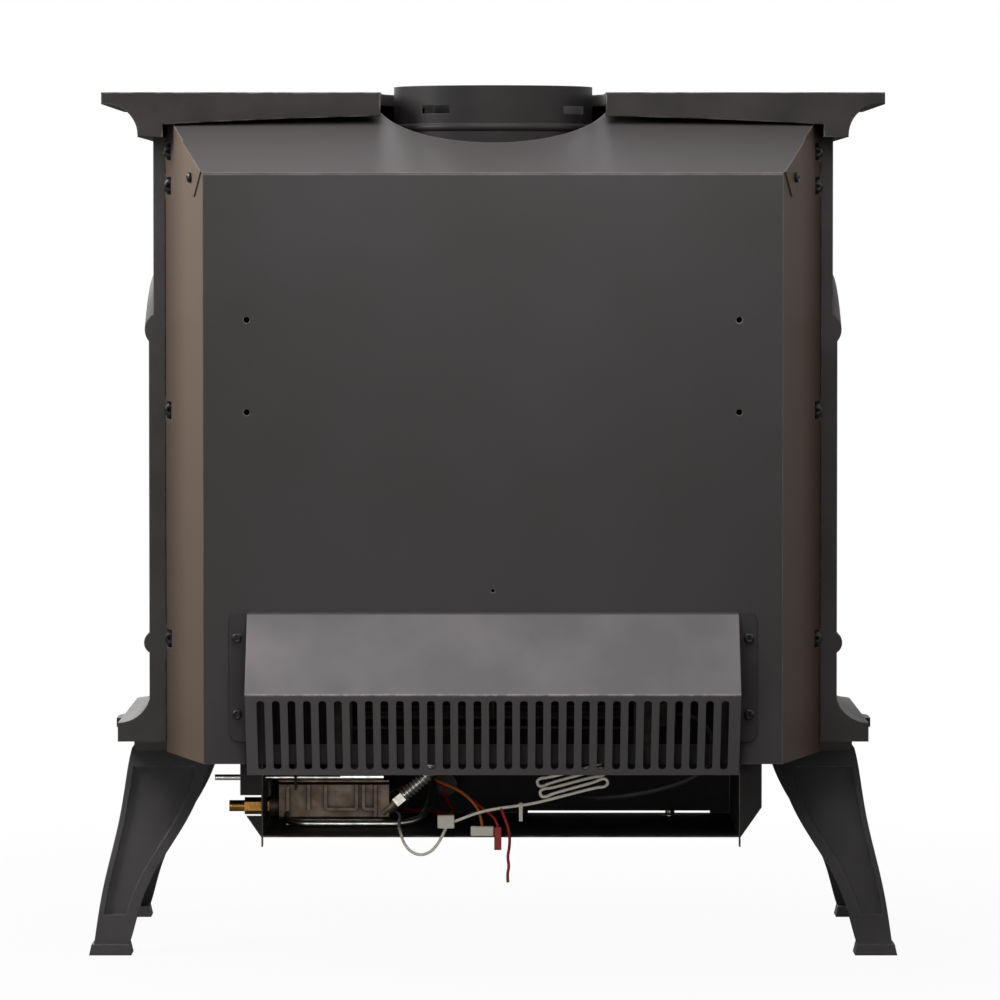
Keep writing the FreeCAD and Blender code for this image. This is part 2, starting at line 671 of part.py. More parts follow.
def leg():
    """Rear left leg: a splayed angle with sunk panels, a bolting flange and a foot pad."""
    body = leg_loft(angle_outline)
    reach = LEG_FOOT_X + PAD_SIZE
    panel_zone = box((0, reach), (-reach, reach), LEG_PANEL_Z)
    body = body.cut(leg_loft(rear_recess_outline).common(panel_zone))
    body = body.cut(leg_loft(side_recess_outline).common(panel_zone))
    top = leg_corner(0, 0)
    flange = box((top.x - LEG_FLANGE, top.x), (top.y - LEG_FLANGE, top.y),
                 (BASE_UNDER - LEG_WALL, BASE_UNDER))
    squares = []
    for inset, z in ((0, 0), (PAD_TAPER, PAD_HEIGHT)):
        outer = V(LEG_FOOT_X - inset, LEG_REAR_FOOT_Y - inset, z)
        size = PAD_SIZE - 2 * inset
        points = [outer, outer - V(size, 0, 0), outer - V(size, size, 0), outer - V(0, size, 0)]
        squares.append(Part.makePolygon(points + points[:1]))
    pad = Part.makeLoft(squares, True, True)
    whole = body.fuse([flange, pad]).removeSplitter()
    seat = leg_bolt_seats()[0]
    return whole.cut(rod(seat - Z_AXIS * LEG_WALL, V(seat.x, seat.y, BASE_TOP), LEG_BOLT_RADIUS + SCREW_GAP))


def to_front(shape):
    """Turn a rear leg's piece into the front leg's."""
    twin = shape.mirror(V(0, 0, 0), Y_AXIS)
    twin.translate(V(0, SHELF_FRONT_Y + LEG_REAR_FOOT_Y, 0))
    return twin


def leg_bolt_seats():
    """Undersides of the leg flanges at the bolts, rear left first."""
    top = leg_corner(0, LEG_WALL)
    rear = top - V(LEG_BOLT_INSET, LEG_BOLT_INSET, 0)
    front_y = SHELF_FRONT_Y + LEG_REAR_FOOT_Y - rear.y
    return [V(sign * rear.x, y, rear.z) for y in (rear.y, front_y) for sign in (1, -1)]


def leg_bolts():
    bolts = []
    for seat in leg_bolt_seats():
        head = hexagon(seat - Z_AXIS * LEG_BOLT_HEAD_HEIGHT, seat, LEG_BOLT_HEAD)
        shank = rod(seat, V(seat.x, seat.y, BASE_TOP - JOINT_GAP), LEG_BOLT_RADIUS)
        bolts.append(head.fuse(shank))
    return Part.makeCompound(bolts)


# The sheet-metal shroud
def slope_z(y):
    """Height of the sloping top's outside."""
    return PANEL_TOP + (PANEL_Y - y) * SLOPE


def slant_x(y):
    """Half-width of the shroud's outside at a depth."""
    return PANEL_HALF + (PANEL_Y - y) * (SHROUD_MOUTH_HALF - PANEL_HALF) / SHROUD_DEPTH


def rear_panel():
    """Flat back and slanting sides folded from one sheet, with flanges on the castings' lugs."""
    side_drop = SHEET * math.hypot(SHROUD_MOUTH_HALF - PANEL_HALF, SHROUD_DEPTH) / SHROUD_DEPTH
    flange_x = SHROUD_MOUTH_HALF - SHROUD_FLANGE
    flange_y = CAST_REAR_Y + SHEET
    outer = [(flange_x, CAST_REAR_Y), (SHROUD_MOUTH_HALF, CAST_REAR_Y), (PANEL_HALF, PANEL_Y)]
    inner = [(slant_x(PANEL_INNER_Y) - side_drop, PANEL_INNER_Y), (slant_x(flange_y) - side_drop, flange_y),
             (flange_x, flange_y)]
    left = [V(x, y, PANEL_FOOT) for x, y in outer]
    right = [V(-p.x, p.y, p.z) for p in reversed(left)]
    inside_left = [V(x, y, PANEL_FOOT) for x, y in inner]
    inside_right = [V(-p.x, p.y, p.z) for p in reversed(inside_left)]
    sheet = polygon(left + right + inside_right + inside_left, V(0, 0, PANEL_TOP + SHROUD_RISE - PANEL_FOOT))
    ends = [PANEL_Y + SHEET, CAST_REAR_Y - SHEET]
    above = [V(-SHROUD_MOUTH_HALF, y, slope_z(y) - SHEET_DROP) for y in ends]
    above += [V(-SHROUD_MOUTH_HALF, y, PANEL_TOP + 2 * SHROUD_RISE) for y in reversed(ends)]
    sheet = sheet.cut(polygon(above, V(2 * SHROUD_MOUTH_HALF, 0, 0)))
    cuts = [box((-BLOWER_OPENING_HALF, BLOWER_OPENING_HALF), (PANEL_INNER_Y, PANEL_Y),
                (BLOWER_OPENING_LOW_Z, BLOWER_OPENING_HIGH_Z))]
    holes = [(0, PROBE_HOLE_Z, PROBE_HOLE_RADIUS)]
    holes += [(sign * BOLT_SPAN / 2, z, BOLT_HOLE_RADIUS) for sign in (1, -1)
              for z in (BOLT_LOW_Z, BOLT_LOW_Z + BOLT_RISE)]
    cuts += [rod(V(x, PANEL_INNER_Y, z), V(x, PANEL_Y, z), radius) for x, z, radius in holes]
    side_cuts = [screw_hole(seat, Y_AXIS, SMALL_SHANK) for seat in cover_seats()]
    side_cuts.append(screw_hole(ear_seat(), slant()[1], SMALL_SHANK))
    for seat in lug_seats():
        side_cuts.append(screw_hole(seat, Y_AXIS, LUG_SHANK))
        side_cuts.append(box((flange_x, SHROUD_MOUTH_HALF), (flange_y, flange_y + NOTCH_DEPTH),
                             (seat.z - NOTCH_HEIGHT / 2, seat.z + NOTCH_HEIGHT / 2)))
    for cut in side_cuts:
        cuts += [cut, mirror_x(cut)]
    return sheet.cut(cuts)


def shroud_top():
    """Sloping sheet, cut round for the collar, with a rear flange and a folded ear on each side."""
    ends = [(PANEL_Y, 0), (CAST_REAR_Y, 0), (CAST_REAR_Y, SHEET_DROP), (PANEL_Y, SHEET_DROP)]
    profile = [V(-SHROUD_MOUTH_HALF, y, slope_z(y) - drop) for y, drop in ends]
    sheet = polygon(profile, V(2 * SHROUD_MOUTH_HALF, 0, 0))
    plan = [V(PANEL_HALF, PANEL_Y, PANEL_FOOT), V(-PANEL_HALF, PANEL_Y, PANEL_FOOT),
            V(-SHROUD_MOUTH_HALF, CAST_REAR_Y, PANEL_FOOT), V(SHROUD_MOUTH_HALF, CAST_REAR_Y, PANEL_FOOT)]
    sheet = sheet.common(polygon(plan, V(0, 0, COLLAR_TOP)))
    flange_half = PANEL_HALF - TOP_FLANGE_INSET
    flange = box((-flange_half, flange_half), (PANEL_INNER_Y - SHEET, PANEL_INNER_Y),
                 (PANEL_TOP - TOP_FLANGE, PANEL_TOP))
    ear_end = EAR_START + EAR_DEPTH
    middle = EAR_START + EAR_DEPTH / 2
    corners = [on_slant(EAR_START, 0), on_slant(ear_end, 0), on_slant(middle + EAR_FOOT / 2, EAR_DROP),
               on_slant(middle - EAR_FOOT / 2, EAR_DROP)]
    ear = polygon(corners, slant()[1] * SHEET)
    ear = ear.cut(screw_hole(ear_seat(), slant()[1], SMALL_SHANK))
    whole = sheet.fuse([flange, ear, mirror_x(ear)]).removeSplitter()
    cut = rod(V(0, COLLAR_Y, PANEL_FOOT), V(0, COLLAR_Y, COLLAR_TOP), COLLAR_CUT_RADIUS)
    return whole.cut(cut)


def casting_screws():
    left = [screw(seat, Y_AXIS, LUG_HEAD, LUG_SHANK) for seat in lug_seats()]
    return Part.makeCompound(left + [mirror_x(piece) for piece in left])


def sheet_screws():
    """Small screws in the shroud's ears, the cover's flanges and the tray's lips."""
    left = [screw(ear_seat(), slant()[1], SMALL_HEAD, SMALL_SHANK)]
    left += [screw(seat, Y_AXIS, SMALL_HEAD, SMALL_SHANK) for seat in cover_seats()]
    tray = [screw(seat, -Z_AXIS, SMALL_HEAD, SMALL_SHANK) for seat in tray_seats()]
    return Part.makeCompound(left + [mirror_x(piece) for piece in left] + tray)


def slot_cutter(x, centre, along, outward):
    """Round-ended slot along the leaning face of the cover."""
    half = (SLOT_LENGTH - SLOT_WIDTH) / 2
    side = V(SLOT_WIDTH / 2, 0, 0)
    middle = V(x, centre.y, centre.z) - outward * (2 * SHEET)
    high, low = middle - along * half, middle + along * half
    edges = [line(high + side, low + side), bulge(low + side, low - side, along * (SLOT_WIDTH / 2)),
             line(low - side, high - side), bulge(high - side, high + side, along * (-SLOT_WIDTH / 2))]
    return face_of(edges).extrude(outward * (4 * SHEET))


def blower_cover():
    """Folded wedge over the blower: a sloping roof, a slotted face below it, closed ends with flanges."""
    bend = V(0, PANEL_Y + COVER_BEND_OUT, COVER_BEND_Z)
    roof = V(0, PANEL_Y, COVER_TOP_Z) - bend
    face = V(0, PANEL_Y + COVER_FOOT_OUT, COVER_FOOT_Z) - bend
    past_roof = bend + roof * (1 + SHEET / COVER_BEND_OUT)
    past_face = bend + face * (1 + 3 * SHEET / face.Length)
    corners = [past_roof, bend, past_face, V(0, past_roof.y, past_face.z)]
    outline = Part.makePolygon(corners + corners[:1])
    hollow = Part.Face(outline.makeOffset2D(-SHEET))
    inner_half = COVER_HALF - SHEET
    outside = Part.Face(outline).extrude(V(2 * COVER_HALF, 0, 0))
    outside.translate(V(-COVER_HALF, 0, 0))
    inside = hollow.extrude(V(2 * inner_half, 0, 0))
    inside.translate(V(-inner_half, 0, 0))
    keep = box((-COVER_HALF, COVER_HALF), (PANEL_Y, bend.y), (COVER_FOOT_Z, COVER_TOP_Z))
    cover = outside.cut(inside).common(keep)
    along = V(face).normalize()
    outward = V(0, -along.z, along.y)
    centre = bend + face * 0.5
    first = -(SLOT_COUNT - 1) / 2 * SLOT_PITCH
    slots = [slot_cutter(first + SLOT_PITCH * count, centre, along, outward) for count in range(SLOT_COUNT)]
    cover = cover.cut(slots)
    flange = cover_flange()
    return cover.fuse([flange, mirror_x(flange)]).removeSplitter()


def cover_flange():
    """Left flange, flat on the panel, with rounded corners and two screw holes."""
    near, far = COVER_HALF - SHEET, COVER_HALF + COVER_FLANGE
    corner = COVER_FLANGE_CORNER
    inset = corner * (1 - math.sqrt(0.5))
    low, high = COVER_FLANGE_LOW_Z, COVER_TOP_Z
    spots = [V(near, PANEL_Y, low), V(far - corner, PANEL_Y, low), V(far, PANEL_Y, low + corner),
             V(far, PANEL_Y, high - corner), V(far - corner, PANEL_Y, high), V(near, PANEL_Y, high)]
    edges = [line(spots[0], spots[1]), arc(spots[1], V(far - inset, PANEL_Y, low + inset), spots[2]),
             line(spots[2], spots[3]), arc(spots[3], V(far - inset, PANEL_Y, high - inset), spots[4]),
             line(spots[4], spots[5]), line(spots[5], spots[0])]
    flange = face_of(edges).extrude(V(0, SHEET, 0))
    return flange.cut([screw_hole(seat, Y_AXIS, SMALL_SHANK) for seat in cover_seats()])


# The flue
def outer_collar():
    """Beaded collar with four locking slots and a flange on the firebox."""
    inside = COLLAR_RADIUS - COLLAR_WALL
    bead = (COLLAR_BEAD_Z - 2 * COLLAR_BEAD_PROUD, COLLAR_BEAD_Z + 2 * COLLAR_BEAD_PROUD)
    brim = COLLAR_RADIUS + COLLAR_FLANGE
    low = FIREBOX_TOP
    spots = [V(inside, 0, COLLAR_TOP), V(inside, 0, low), V(brim, 0, low), V(brim, 0, low + COLLAR_WALL),
             V(COLLAR_RADIUS, 0, low + COLLAR_WALL), V(COLLAR_RADIUS, 0, bead[0])]
    edges = [line(a, b) for a, b in zip(spots, spots[1:])]
    bead_top = V(COLLAR_RADIUS, 0, bead[1])
    rim = V(COLLAR_RADIUS, 0, COLLAR_TOP)
    edges.append(bulge(spots[-1], bead_top, V(COLLAR_BEAD_PROUD, 0, 0)))
    edges += [line(bead_top, rim), line(rim, spots[0])]
    collar = face_of(edges).revolve(V(0, 0, 0), Z_AXIS, 360)
    slot = box((-COLLAR_SLOT_WIDTH / 2, COLLAR_SLOT_WIDTH / 2), (inside / 2, brim),
               (COLLAR_SLOT_Z - COLLAR_SLOT_HEIGHT / 2, COLLAR_SLOT_Z + COLLAR_SLOT_HEIGHT / 2))
    for quarter in range(4):
        turned = slot.copy()
        turned.rotate(V(0, 0, 0), Z_AXIS, 90 * quarter - COLLAR_SLOT_ANGLE)
        collar = collar.cut(turned)
    collar.translate(V(0, COLLAR_Y, 0))
    return collar


def inner_collar():
    foot, rim = V(0, COLLAR_Y, FIREBOX_TOP), V(0, COLLAR_Y, INNER_COLLAR_TOP)
    return tube(foot, rim, INNER_COLLAR_RADIUS, COLLAR_WALL)


# The firebox and what closes it
def firebox():
    """Welded steel box, open above, with a window in front and a gas hole in its floor."""
    wall = FIREBOX_WALL
    half = FIREBOX_HALF
    shell = box((-half, half), (FIREBOX_FRONT_Y, FIREBOX_REAR_Y), (BASE_TOP, FIREBOX_ROOF_Z))
    shell = shell.cut(box((wall - half, half - wall), (FIREBOX_FRONT_Y + wall, FIREBOX_REAR_Y - wall),
                          (FIREBOX_FLOOR_Z, FIREBOX_ROOF_Z)))
    lap = GASKET_WIDTH
    window = box((lap - GLASS_HALF, GLASS_HALF - lap), (FIREBOX_FRONT_Y, FIREBOX_FRONT_Y + wall),
                 (GLASS_LOW + lap, GLASS_HIGH - lap))
    mixer = rod(V(MIXER_X, MIXER_Y, BASE_TOP), V(MIXER_X, MIXER_Y, FIREBOX_FLOOR_Z),
                MIXER_RADIUS - MIXER_WALL)
    return shell.cut([window, mixer])


def firebox_roof():
    """Steel plate that closes the firebox and carries both collars."""
    plate = box((-FIREBOX_HALF, FIREBOX_HALF), (FIREBOX_FRONT_Y, FIREBOX_REAR_Y),
                (FIREBOX_ROOF_Z, FIREBOX_TOP))
    foot, head = V(0, COLLAR_Y, FIREBOX_ROOF_Z), V(0, COLLAR_Y, FIREBOX_TOP)
    return plate.cut(rod(foot, head, INNER_COLLAR_RADIUS - COLLAR_WALL))


def ring_plate(outer, inner, y):
    """Flat rectangular ring between two depths; outer and inner are (half-width, low, high)."""
    solid = box((-outer[0], outer[0]), y, (outer[1], outer[2]))
    return solid.cut(box((-inner[0], inner[0]), y, (inner[1], inner[2])))


def glass_size(grow):
    return (GLASS_HALF + grow, GLASS_LOW - grow, GLASS_HIGH + grow)


def glass_gasket():
    return ring_plate(glass_size(0), glass_size(-GASKET_WIDTH), (GASKET_Y, FIREBOX_FRONT_Y))


def glass_panel():
    half, low, high = glass_size(0)
    return box((-half, half), (GLASS_Y, GASKET_Y), (low, high))


def glass_frame():
    """Steel frame: a lip in front of the glass and a rim round its edge."""
    lip = ring_plate(glass_size(GLASS_GAP + FRAME_RIM), glass_size(-FRAME_LIP), (FRAME_Y, GLASS_Y))
    rim = ring_plate(glass_size(GLASS_GAP + FRAME_RIM), glass_size(GLASS_GAP),
                     (GLASS_Y, FIREBOX_FRONT_Y - LATCH_GAP))
    return lip.fuse(rim).removeSplitter()


def latch():
    """Left turn-button, swung over the edge of the glass frame."""
    y = FRAME_Y - LATCH_GAP
    pivot = V(LATCH_X, y, LATCH_Z)
    radius = LATCH_WIDTH / 2
    tip = pivot - X_AXIS * (LATCH_LENGTH - LATCH_WIDTH)
    thick = V(0, -LATCH_THICK, 0)
    bar = box((tip.x, pivot.x), (y - LATCH_THICK, y), (LATCH_Z - radius, LATCH_Z + radius))
    ends = [rod(tip, tip + thick, radius), rod(pivot, pivot + thick, radius)]
    return bar.fuse(ends).removeSplitter().cut(rod(pivot, pivot + thick, LATCH_PIN_RADIUS + RUNNING_GAP))


def latch_pins():
    """Shoulder screws that the turn-buttons swing on."""
    foot = V(LATCH_X, FIREBOX_FRONT_Y, LATCH_Z)
    shoulder = V(LATCH_X, FRAME_Y, LATCH_Z)
    neck = shoulder - Y_AXIS * (LATCH_THICK + 2 * LATCH_GAP)
    head = neck - Y_AXIS * LATCH_THICK
    wide = LATCH_WIDTH / 2 - LATCH_GAP
    pin = rod(foot, shoulder, wide).fuse([rod(shoulder, neck, LATCH_PIN_RADIUS), rod(neck, head, wide)])
    return both_sides(pin)


# What burns
def burner():
    """Pan burner, open below, with two rows of ports in its top."""
    half, wall = BURNER_HALF, BURNER_WALL
    pan = box((-half, half), BURNER_Y, (FIREBOX_FLOOR_Z, GRATE_Z))
    inner_y = (BURNER_Y[0] + wall, BURNER_Y[1] - wall)
    pan = pan.cut(box((wall - half, half - wall), inner_y, (FIREBOX_FLOOR_Z, GRATE_Z - wall)))
    pitch = 2 * half / (PORT_COUNT + 1)
    row_gap = (BURNER_Y[1] - BURNER_Y[0]) / 3
    ports = []
    for row in (1, 2):
        for count in range(PORT_COUNT):
            spot = V(pitch * (count + 1) - half, BURNER_Y[0] + row_gap * row, GRATE_Z - wall)
            ports.append(rod(spot, spot + Z_AXIS * wall, PORT_RADIUS))
    return pan.cut(ports)


def grate():
    """Cast grate: bars with upturned front ends, tied by two rails."""
    bar = GRATE_BAR
    half = BURNER_HALF - bar
    front, rear = BURNER_Y[0], BURNER_Y[0] + GRATE_DEPTH
    pitch = (2 * half - bar) / (GRATE_BARS - 1)
    whole = box((-half, half), (front + bar, front + 2 * bar), (GRATE_Z, GRATE_Z + bar))
    whole = whole.fuse(box((-half, half), (rear - 2 * bar, rear - bar), (GRATE_Z, GRATE_Z + bar)))
    for count in range(GRATE_BARS):
        x = pitch * count - half
        flat = box((x, x + bar), (front, rear), (GRATE_Z, GRATE_Z + bar))
        tine = box((x, x + bar), (front, front + bar), (GRATE_Z, GRATE_Z + GRATE_TINE))
        whole = whole.fuse([flat, tine])
    return whole.removeSplitter()


def fire_log(start, end, radii):
    """Ceramic log: a tapered body whose girth changes along its length."""
    axis = end - start
    steps = len(radii) - 1
    wires = []
    for step, radius in enumerate(radii):
        sway = V(0, math.sin(LOG_SWAY * step), 0) * (radius * LOG_SWAY_SHARE)
        circle = Part.makeCircle(radius, start + axis * (step / steps) + sway, axis)
        wires.append(Part.Wire(circle))
    return Part.makeLoft(wires, True, True)


def settle(piece, supports):
    """Lower a piece until it lies a small gap above what carries it."""
    ground = Part.makeCompound(supports)
    for attempt in range(SETTLE_STEPS):
        piece.translate(V(0, 0, LOG_GAP - piece.distToShape(ground)[0]))
    return piece


def log_set(carrier):
    """Four logs, each settled on the grate or on the logs below it."""
    high = GRATE_Z + 2 * GRATE_BAR + LOG_RADIUS
    thin = LOG_RADIUS * LOG_THIN_SHARE
    rear_y = BURNER_Y[0] + GRATE_DEPTH - LOG_REAR_INSET
    front_y = BURNER_Y[0] + GRATE_BAR + LOG_FRONT_INSET
    reach = BURNER_HALF - 2 * GRATE_BAR
    rear = fire_log(V(-reach, rear_y, high), V(reach, rear_y, high),
                    [LOG_RADIUS * share for share in (0.86, 1.0, 0.94, 1.02, 0.88)])
    left = fire_log(V(LOG_RADIUS, front_y + LOG_RADIUS / 4, high), V(reach, front_y, high),
                    [thin * share for share in (0.85, 0.95, 1.0, 0.84)])
    right = fire_log(V(-reach, front_y, high), V(-LOG_RADIUS, front_y + LOG_RADIUS / 4, high),
                     [thin * share for share in (0.9, 1.0, 0.9, 0.8)])
    for piece in (rear, left, right):
        settle(piece, [carrier])
    above = high + 4 * LOG_RADIUS
    cross = fire_log(V(-2 * LOG_RADIUS, front_y, above), V(2 * LOG_RADIUS, rear_y, above + LOG_RADIUS / 2),
                     [thin * share for share in (0.7, 0.8, 0.75, 0.65)])
    settle(cross, [rear, left, right])
    return Part.makeCompound([rear, left, right, cross])


def pilot_burner():
    """Pilot bracket on the firebox floor with its hood and spark rod."""
    foot = box((PILOT_X - PILOT_WIDTH / 2, PILOT_X + PILOT_WIDTH / 2), (-PILOT_WIDTH / 2, PILOT_WIDTH / 2),
               (FIREBOX_FLOOR_Z, FIREBOX_FLOOR_Z + FIREBOX_WALL))
    upright = box((PILOT_X - PILOT_WIDTH / 2, PILOT_X + PILOT_WIDTH / 2), (0, FIREBOX_WALL),
                  (FIREBOX_FLOOR_Z, FIREBOX_FLOOR_Z + PILOT_HEIGHT))
    hood_foot = V(PILOT_X, -PILOT_WIDTH / 4, FIREBOX_FLOOR_Z)
    hood = rod(hood_foot, hood_foot + Z_AXIS * HOOD_HEIGHT, PILOT_WIDTH / 4)
    spark_foot = hood_foot + X_AXIS * SPARK_OFFSET
    spark = rod(spark_foot, spark_foot + Z_AXIS * PILOT_HEIGHT, SPARK_RADIUS)
    return foot.fuse([upright, hood, spark]).removeSplitter()


def thermopile():
    """Probe that stands against the pilot's upright."""
    radius = PILOT_WIDTH / 6
    foot = V(PILOT_X - PILOT_WIDTH / 4, FIREBOX_WALL + radius, FIREBOX_FLOOR_Z + FIREBOX_WALL)
    return rod(foot, foot + Z_AXIS * PROBE_HEIGHT, radius)


# The valve tray and the gas train
def tray_seats():
    x = TRAY_HALF + TRAY_LIP / 2
    depths = (TRAY_FRONT_Y + TRAY_LIP, CAST_REAR_Y - TRAY_LIP)
    return [V(TRAY_X + sign * x, y, BASE_UNDER - SHEET) for sign in (1, -1) for y in depths]


def tray_wall():
    """Left wall, measured from the tray's middle, with its bolting lip, rear wing and rear tab."""
    high = BASE_UNDER
    wall = box((TRAY_HALF - SHEET, TRAY_HALF), (TRAY_FRONT_Y, TRAY_REAR_Y), (TRAY_FLOOR_Z, high))
    lip = box((TRAY_HALF, TRAY_HALF + TRAY_LIP), (TRAY_FRONT_Y, CAST_REAR_Y), (high - SHEET, high))
    far = TRAY_HALF + TRAY_FLANGE
    outline = [(TRAY_HALF, TRAY_FLOOR_Z), (far, TRAY_FLOOR_Z + TRAY_CHAMFER), (far, high), (TRAY_HALF, high)]
    wing = polygon([V(x, TRAY_REAR_Y - SHEET, z) for x, z in outline], V(0, SHEET, 0))
    tab = box((TRAY_HALF - SHEET, TRAY_HALF), (TRAY_REAR_Y - TRAY_TAB_DEPTH, TRAY_REAR_Y),
              (TRAY_FLOOR_Z - TRAY_TAB_DROP, TRAY_FLOOR_Z))
    return wall.fuse([lip, wing, tab])


def valve_tray():
    """Folded tray, open to the rear, with a hand hole for the knobs and a slot in its front wall."""
    front_wall = (TRAY_FRONT_Y, TRAY_FRONT_Y + SHEET)
    floor = box((-TRAY_HALF, TRAY_HALF), (TRAY_FRONT_Y, TRAY_REAR_Y), (TRAY_FLOOR_Z, TRAY_TOP_FACE))
    front = box((-TRAY_HALF, TRAY_HALF), front_wall, (TRAY_FLOOR_Z, BASE_UNDER))
    wall = tray_wall()
    tray = floor.fuse([front, wall, mirror_x(wall)]).removeSplitter()
    tray.translate(V(TRAY_X, 0, 0))
    near, far = TRAY_LEFT_X - 2 * SHEET, TRAY_LEFT_X + SHEET
    inlet = rod(V(near, INLET_Y, INLET_Z), V(far, INLET_Y, INLET_Z), INLET_HEX / math.sqrt(3) + JOINT_GAP)
    shutter = rod(V(near, MIXER_Y, ROD_Z), V(far, MIXER_Y, ROD_Z), ROD_RADIUS + RUNNING_GAP)
    igniter = rod(V(IGNITER_X, front_wall[0], IGNITER_Z), V(IGNITER_X, front_wall[1], IGNITER_Z),
                  IGNITER_RADIUS + SCREW_GAP)
    notch = box((TRAY_LEFT_X, TRAY_LEFT_X + TRAY_FLANGE), (TRAY_REAR_Y - SHEET, TRAY_REAR_Y), TRAY_NOTCH_Z)
    slot = box(TRAY_SLOT_X, front_wall, (TRAY_TOP_FACE, TRAY_TOP_FACE + TRAY_SLOT_HEIGHT))
    holes = [screw_hole(seat, -Z_AXIS, SMALL_SHANK) for seat in tray_seats()]
    return tray.cut([inlet, shutter, igniter, notch, slot, box(KNOB_DOOR_X, front_wall, KNOB_DOOR_Z)] + holes)


def valve_body():
    """Die-cast valve: ribbed back, cover plate, inlet neck, outlet boss and two stems in front."""
    rib = VALVE_RIB
    back = VALVE_Y[1] - rib
    low, high = VALVE_Z
    right, left = VALVE_X
    width, height = left - right, high - low
    body = box(VALVE_X, (VALVE_Y[0], back), VALVE_Z)
    body = body.makeChamfer(rib, [edge for edge in body.Edges if edge.BoundBox.XLength > width / 2])
    ribs = []
    for share, foot, head in VALVE_RIBS:
        x = left - share * width
        ribs.append(box((x - rib / 2, x + rib / 2), (back, VALVE_Y[1]),
                        (low + foot * height, low + head * height)))
    level = low + VALVE_BAND_SHARE * height
    for first, last in VALVE_BANDS:
        ribs.append(box((left - last * width, left - first * width), (back, VALVE_Y[1]),
                        (level - rib / 2, level + rib / 2)))
    plate = box(VALVE_X, (VALVE_Y[0] + rib, VALVE_Y[1]), (high, high + VALVE_EDGE))
    neck = rod(V(left, INLET_Y, INLET_Z), V(left + NECK_LENGTH, INLET_Y, INLET_Z), NECK_RADIUS)
    outlet = rod(flex_root(), flex_start(), FLEX_CREST)
    stems = [rod(V(x, VALVE_Y[0], KNOB_Z), V(x, VALVE_Y[0] - STEM_LENGTH, KNOB_Z), STEM_RADIUS)
             for x in (GAS_KNOB_X, FLAME_KNOB_X)]
    return body.fuse(ribs + [plate, neck, outlet] + stems).removeSplitter()


def flex_direction(turn):
    """Direction of the gas tube, turned up from the horizontal."""
    return V(-math.cos(math.radians(turn)), 0, math.sin(math.radians(turn)))


def flex_root():
    """Middle of the outlet boss, inside the valve."""
    return V(VALVE_X[0] + FLEX_CREST, FLEX_Y, FLEX_START_Z)


def flex_start():
    return flex_root() + flex_direction(FLEX_RISE) * FLEX_BOSS_LENGTH


def flex_point(distance):
    """Place and direction along the gas tube: a rising run, a bend, then straight up."""
    start = flex_start() + flex_direction(FLEX_RISE) * FLEX_NUT_LENGTH
    straight = FLEX_STRAIGHT_RIBS * FLEX_PITCH
    bend = FLEX_BEND_RIBS * FLEX_PITCH
    radius = bend / math.radians(90 - FLEX_RISE)
    run = min(distance, straight)
    turned = min(max(distance - straight, 0), bend)
    upright = max(distance - straight - bend, 0)
    angle = math.radians(FLEX_RISE) + turned / radius
    low = math.radians(FLEX_RISE)
    point = start + flex_direction(FLEX_RISE) * run
    across, up = math.sin(angle) - math.sin(low), math.cos(low) - math.cos(angle)
    point = point + V(-radius * across, 0, radius * up)
    return point + Z_AXIS * upright, flex_direction(math.degrees(angle))


def flex_loft(radii):
    """Body along the gas tube, with a ring of each given radius in every rib."""
    ribs = FLEX_STRAIGHT_RIBS + FLEX_BEND_RIBS + FLEX_UPRIGHT_RIBS
    wires = []
    for step in range(ribs * len(radii)):
        centre, tangent = flex_point(step * FLEX_PITCH / len(radii))
        circle = Part.makeCircle(radii[step % len(radii)])
        circle.Placement = FreeCAD.Placement(centre, FreeCAD.Rotation(Y_AXIS, V(), tangent, "ZXY"))
        wires.append(Part.Wire(circle))
    return Part.makeLoft(wires, True, True)


def flex_tube():
    """Ribbed gas tube with its bore."""
    ribbed = flex_loft((FLEX_VALLEY, FLEX_CREST, FLEX_CREST, FLEX_VALLEY))
    return ribbed.cut(flex_loft((FLEX_BORE,)))


def flex_nuts():
    """Hexagon nuts at both ends of the gas tube."""
    start, tangent = flex_point(0)
    low = hexagon(flex_start(), start, FLEX_NUT_HEX)
    ribs = FLEX_STRAIGHT_RIBS + FLEX_BEND_RIBS + FLEX_UPRIGHT_RIBS
    end, tangent = flex_point(ribs * FLEX_PITCH - FLEX_NUT_LAP)
    high = hexagon(end, V(end.x, end.y, BASE_TOP), FLEX_NUT_HEX)
    return Part.makeCompound([low, high])


def valve_bracket():
    """Channel that lifts the valve off the tray's floor."""
    thick = BRACKET_THICK
    x = (VALVE_X[0] + 3 * thick, VALVE_X[1] - 3 * thick)
    y = (VALVE_Y[0] + 3 * thick, VALVE_Y[1] - 3 * thick)
    top = box(x, y, (VALVE_Z[0] - thick, VALVE_Z[0]))
    legs = [box(x, (edge, edge + thick), (TRAY_TOP_FACE, VALVE_Z[0])) for edge in (y[0], y[1] - thick)]
    return top.fuse(legs).removeSplitter()


def inlet_fitting():
    """Brass inlet: a hexagon on the valve's neck and a round stub."""
    start = V(VALVE_X[1] + NECK_LENGTH, INLET_Y, INLET_Z)
    shoulder = start + X_AXIS * INLET_HEX_LENGTH
    stub = rod(shoulder, shoulder + X_AXIS * INLET_STUB_LENGTH, INLET_STUB_RADIUS)
    return hexagon(start, shoulder, INLET_HEX).fuse(stub)


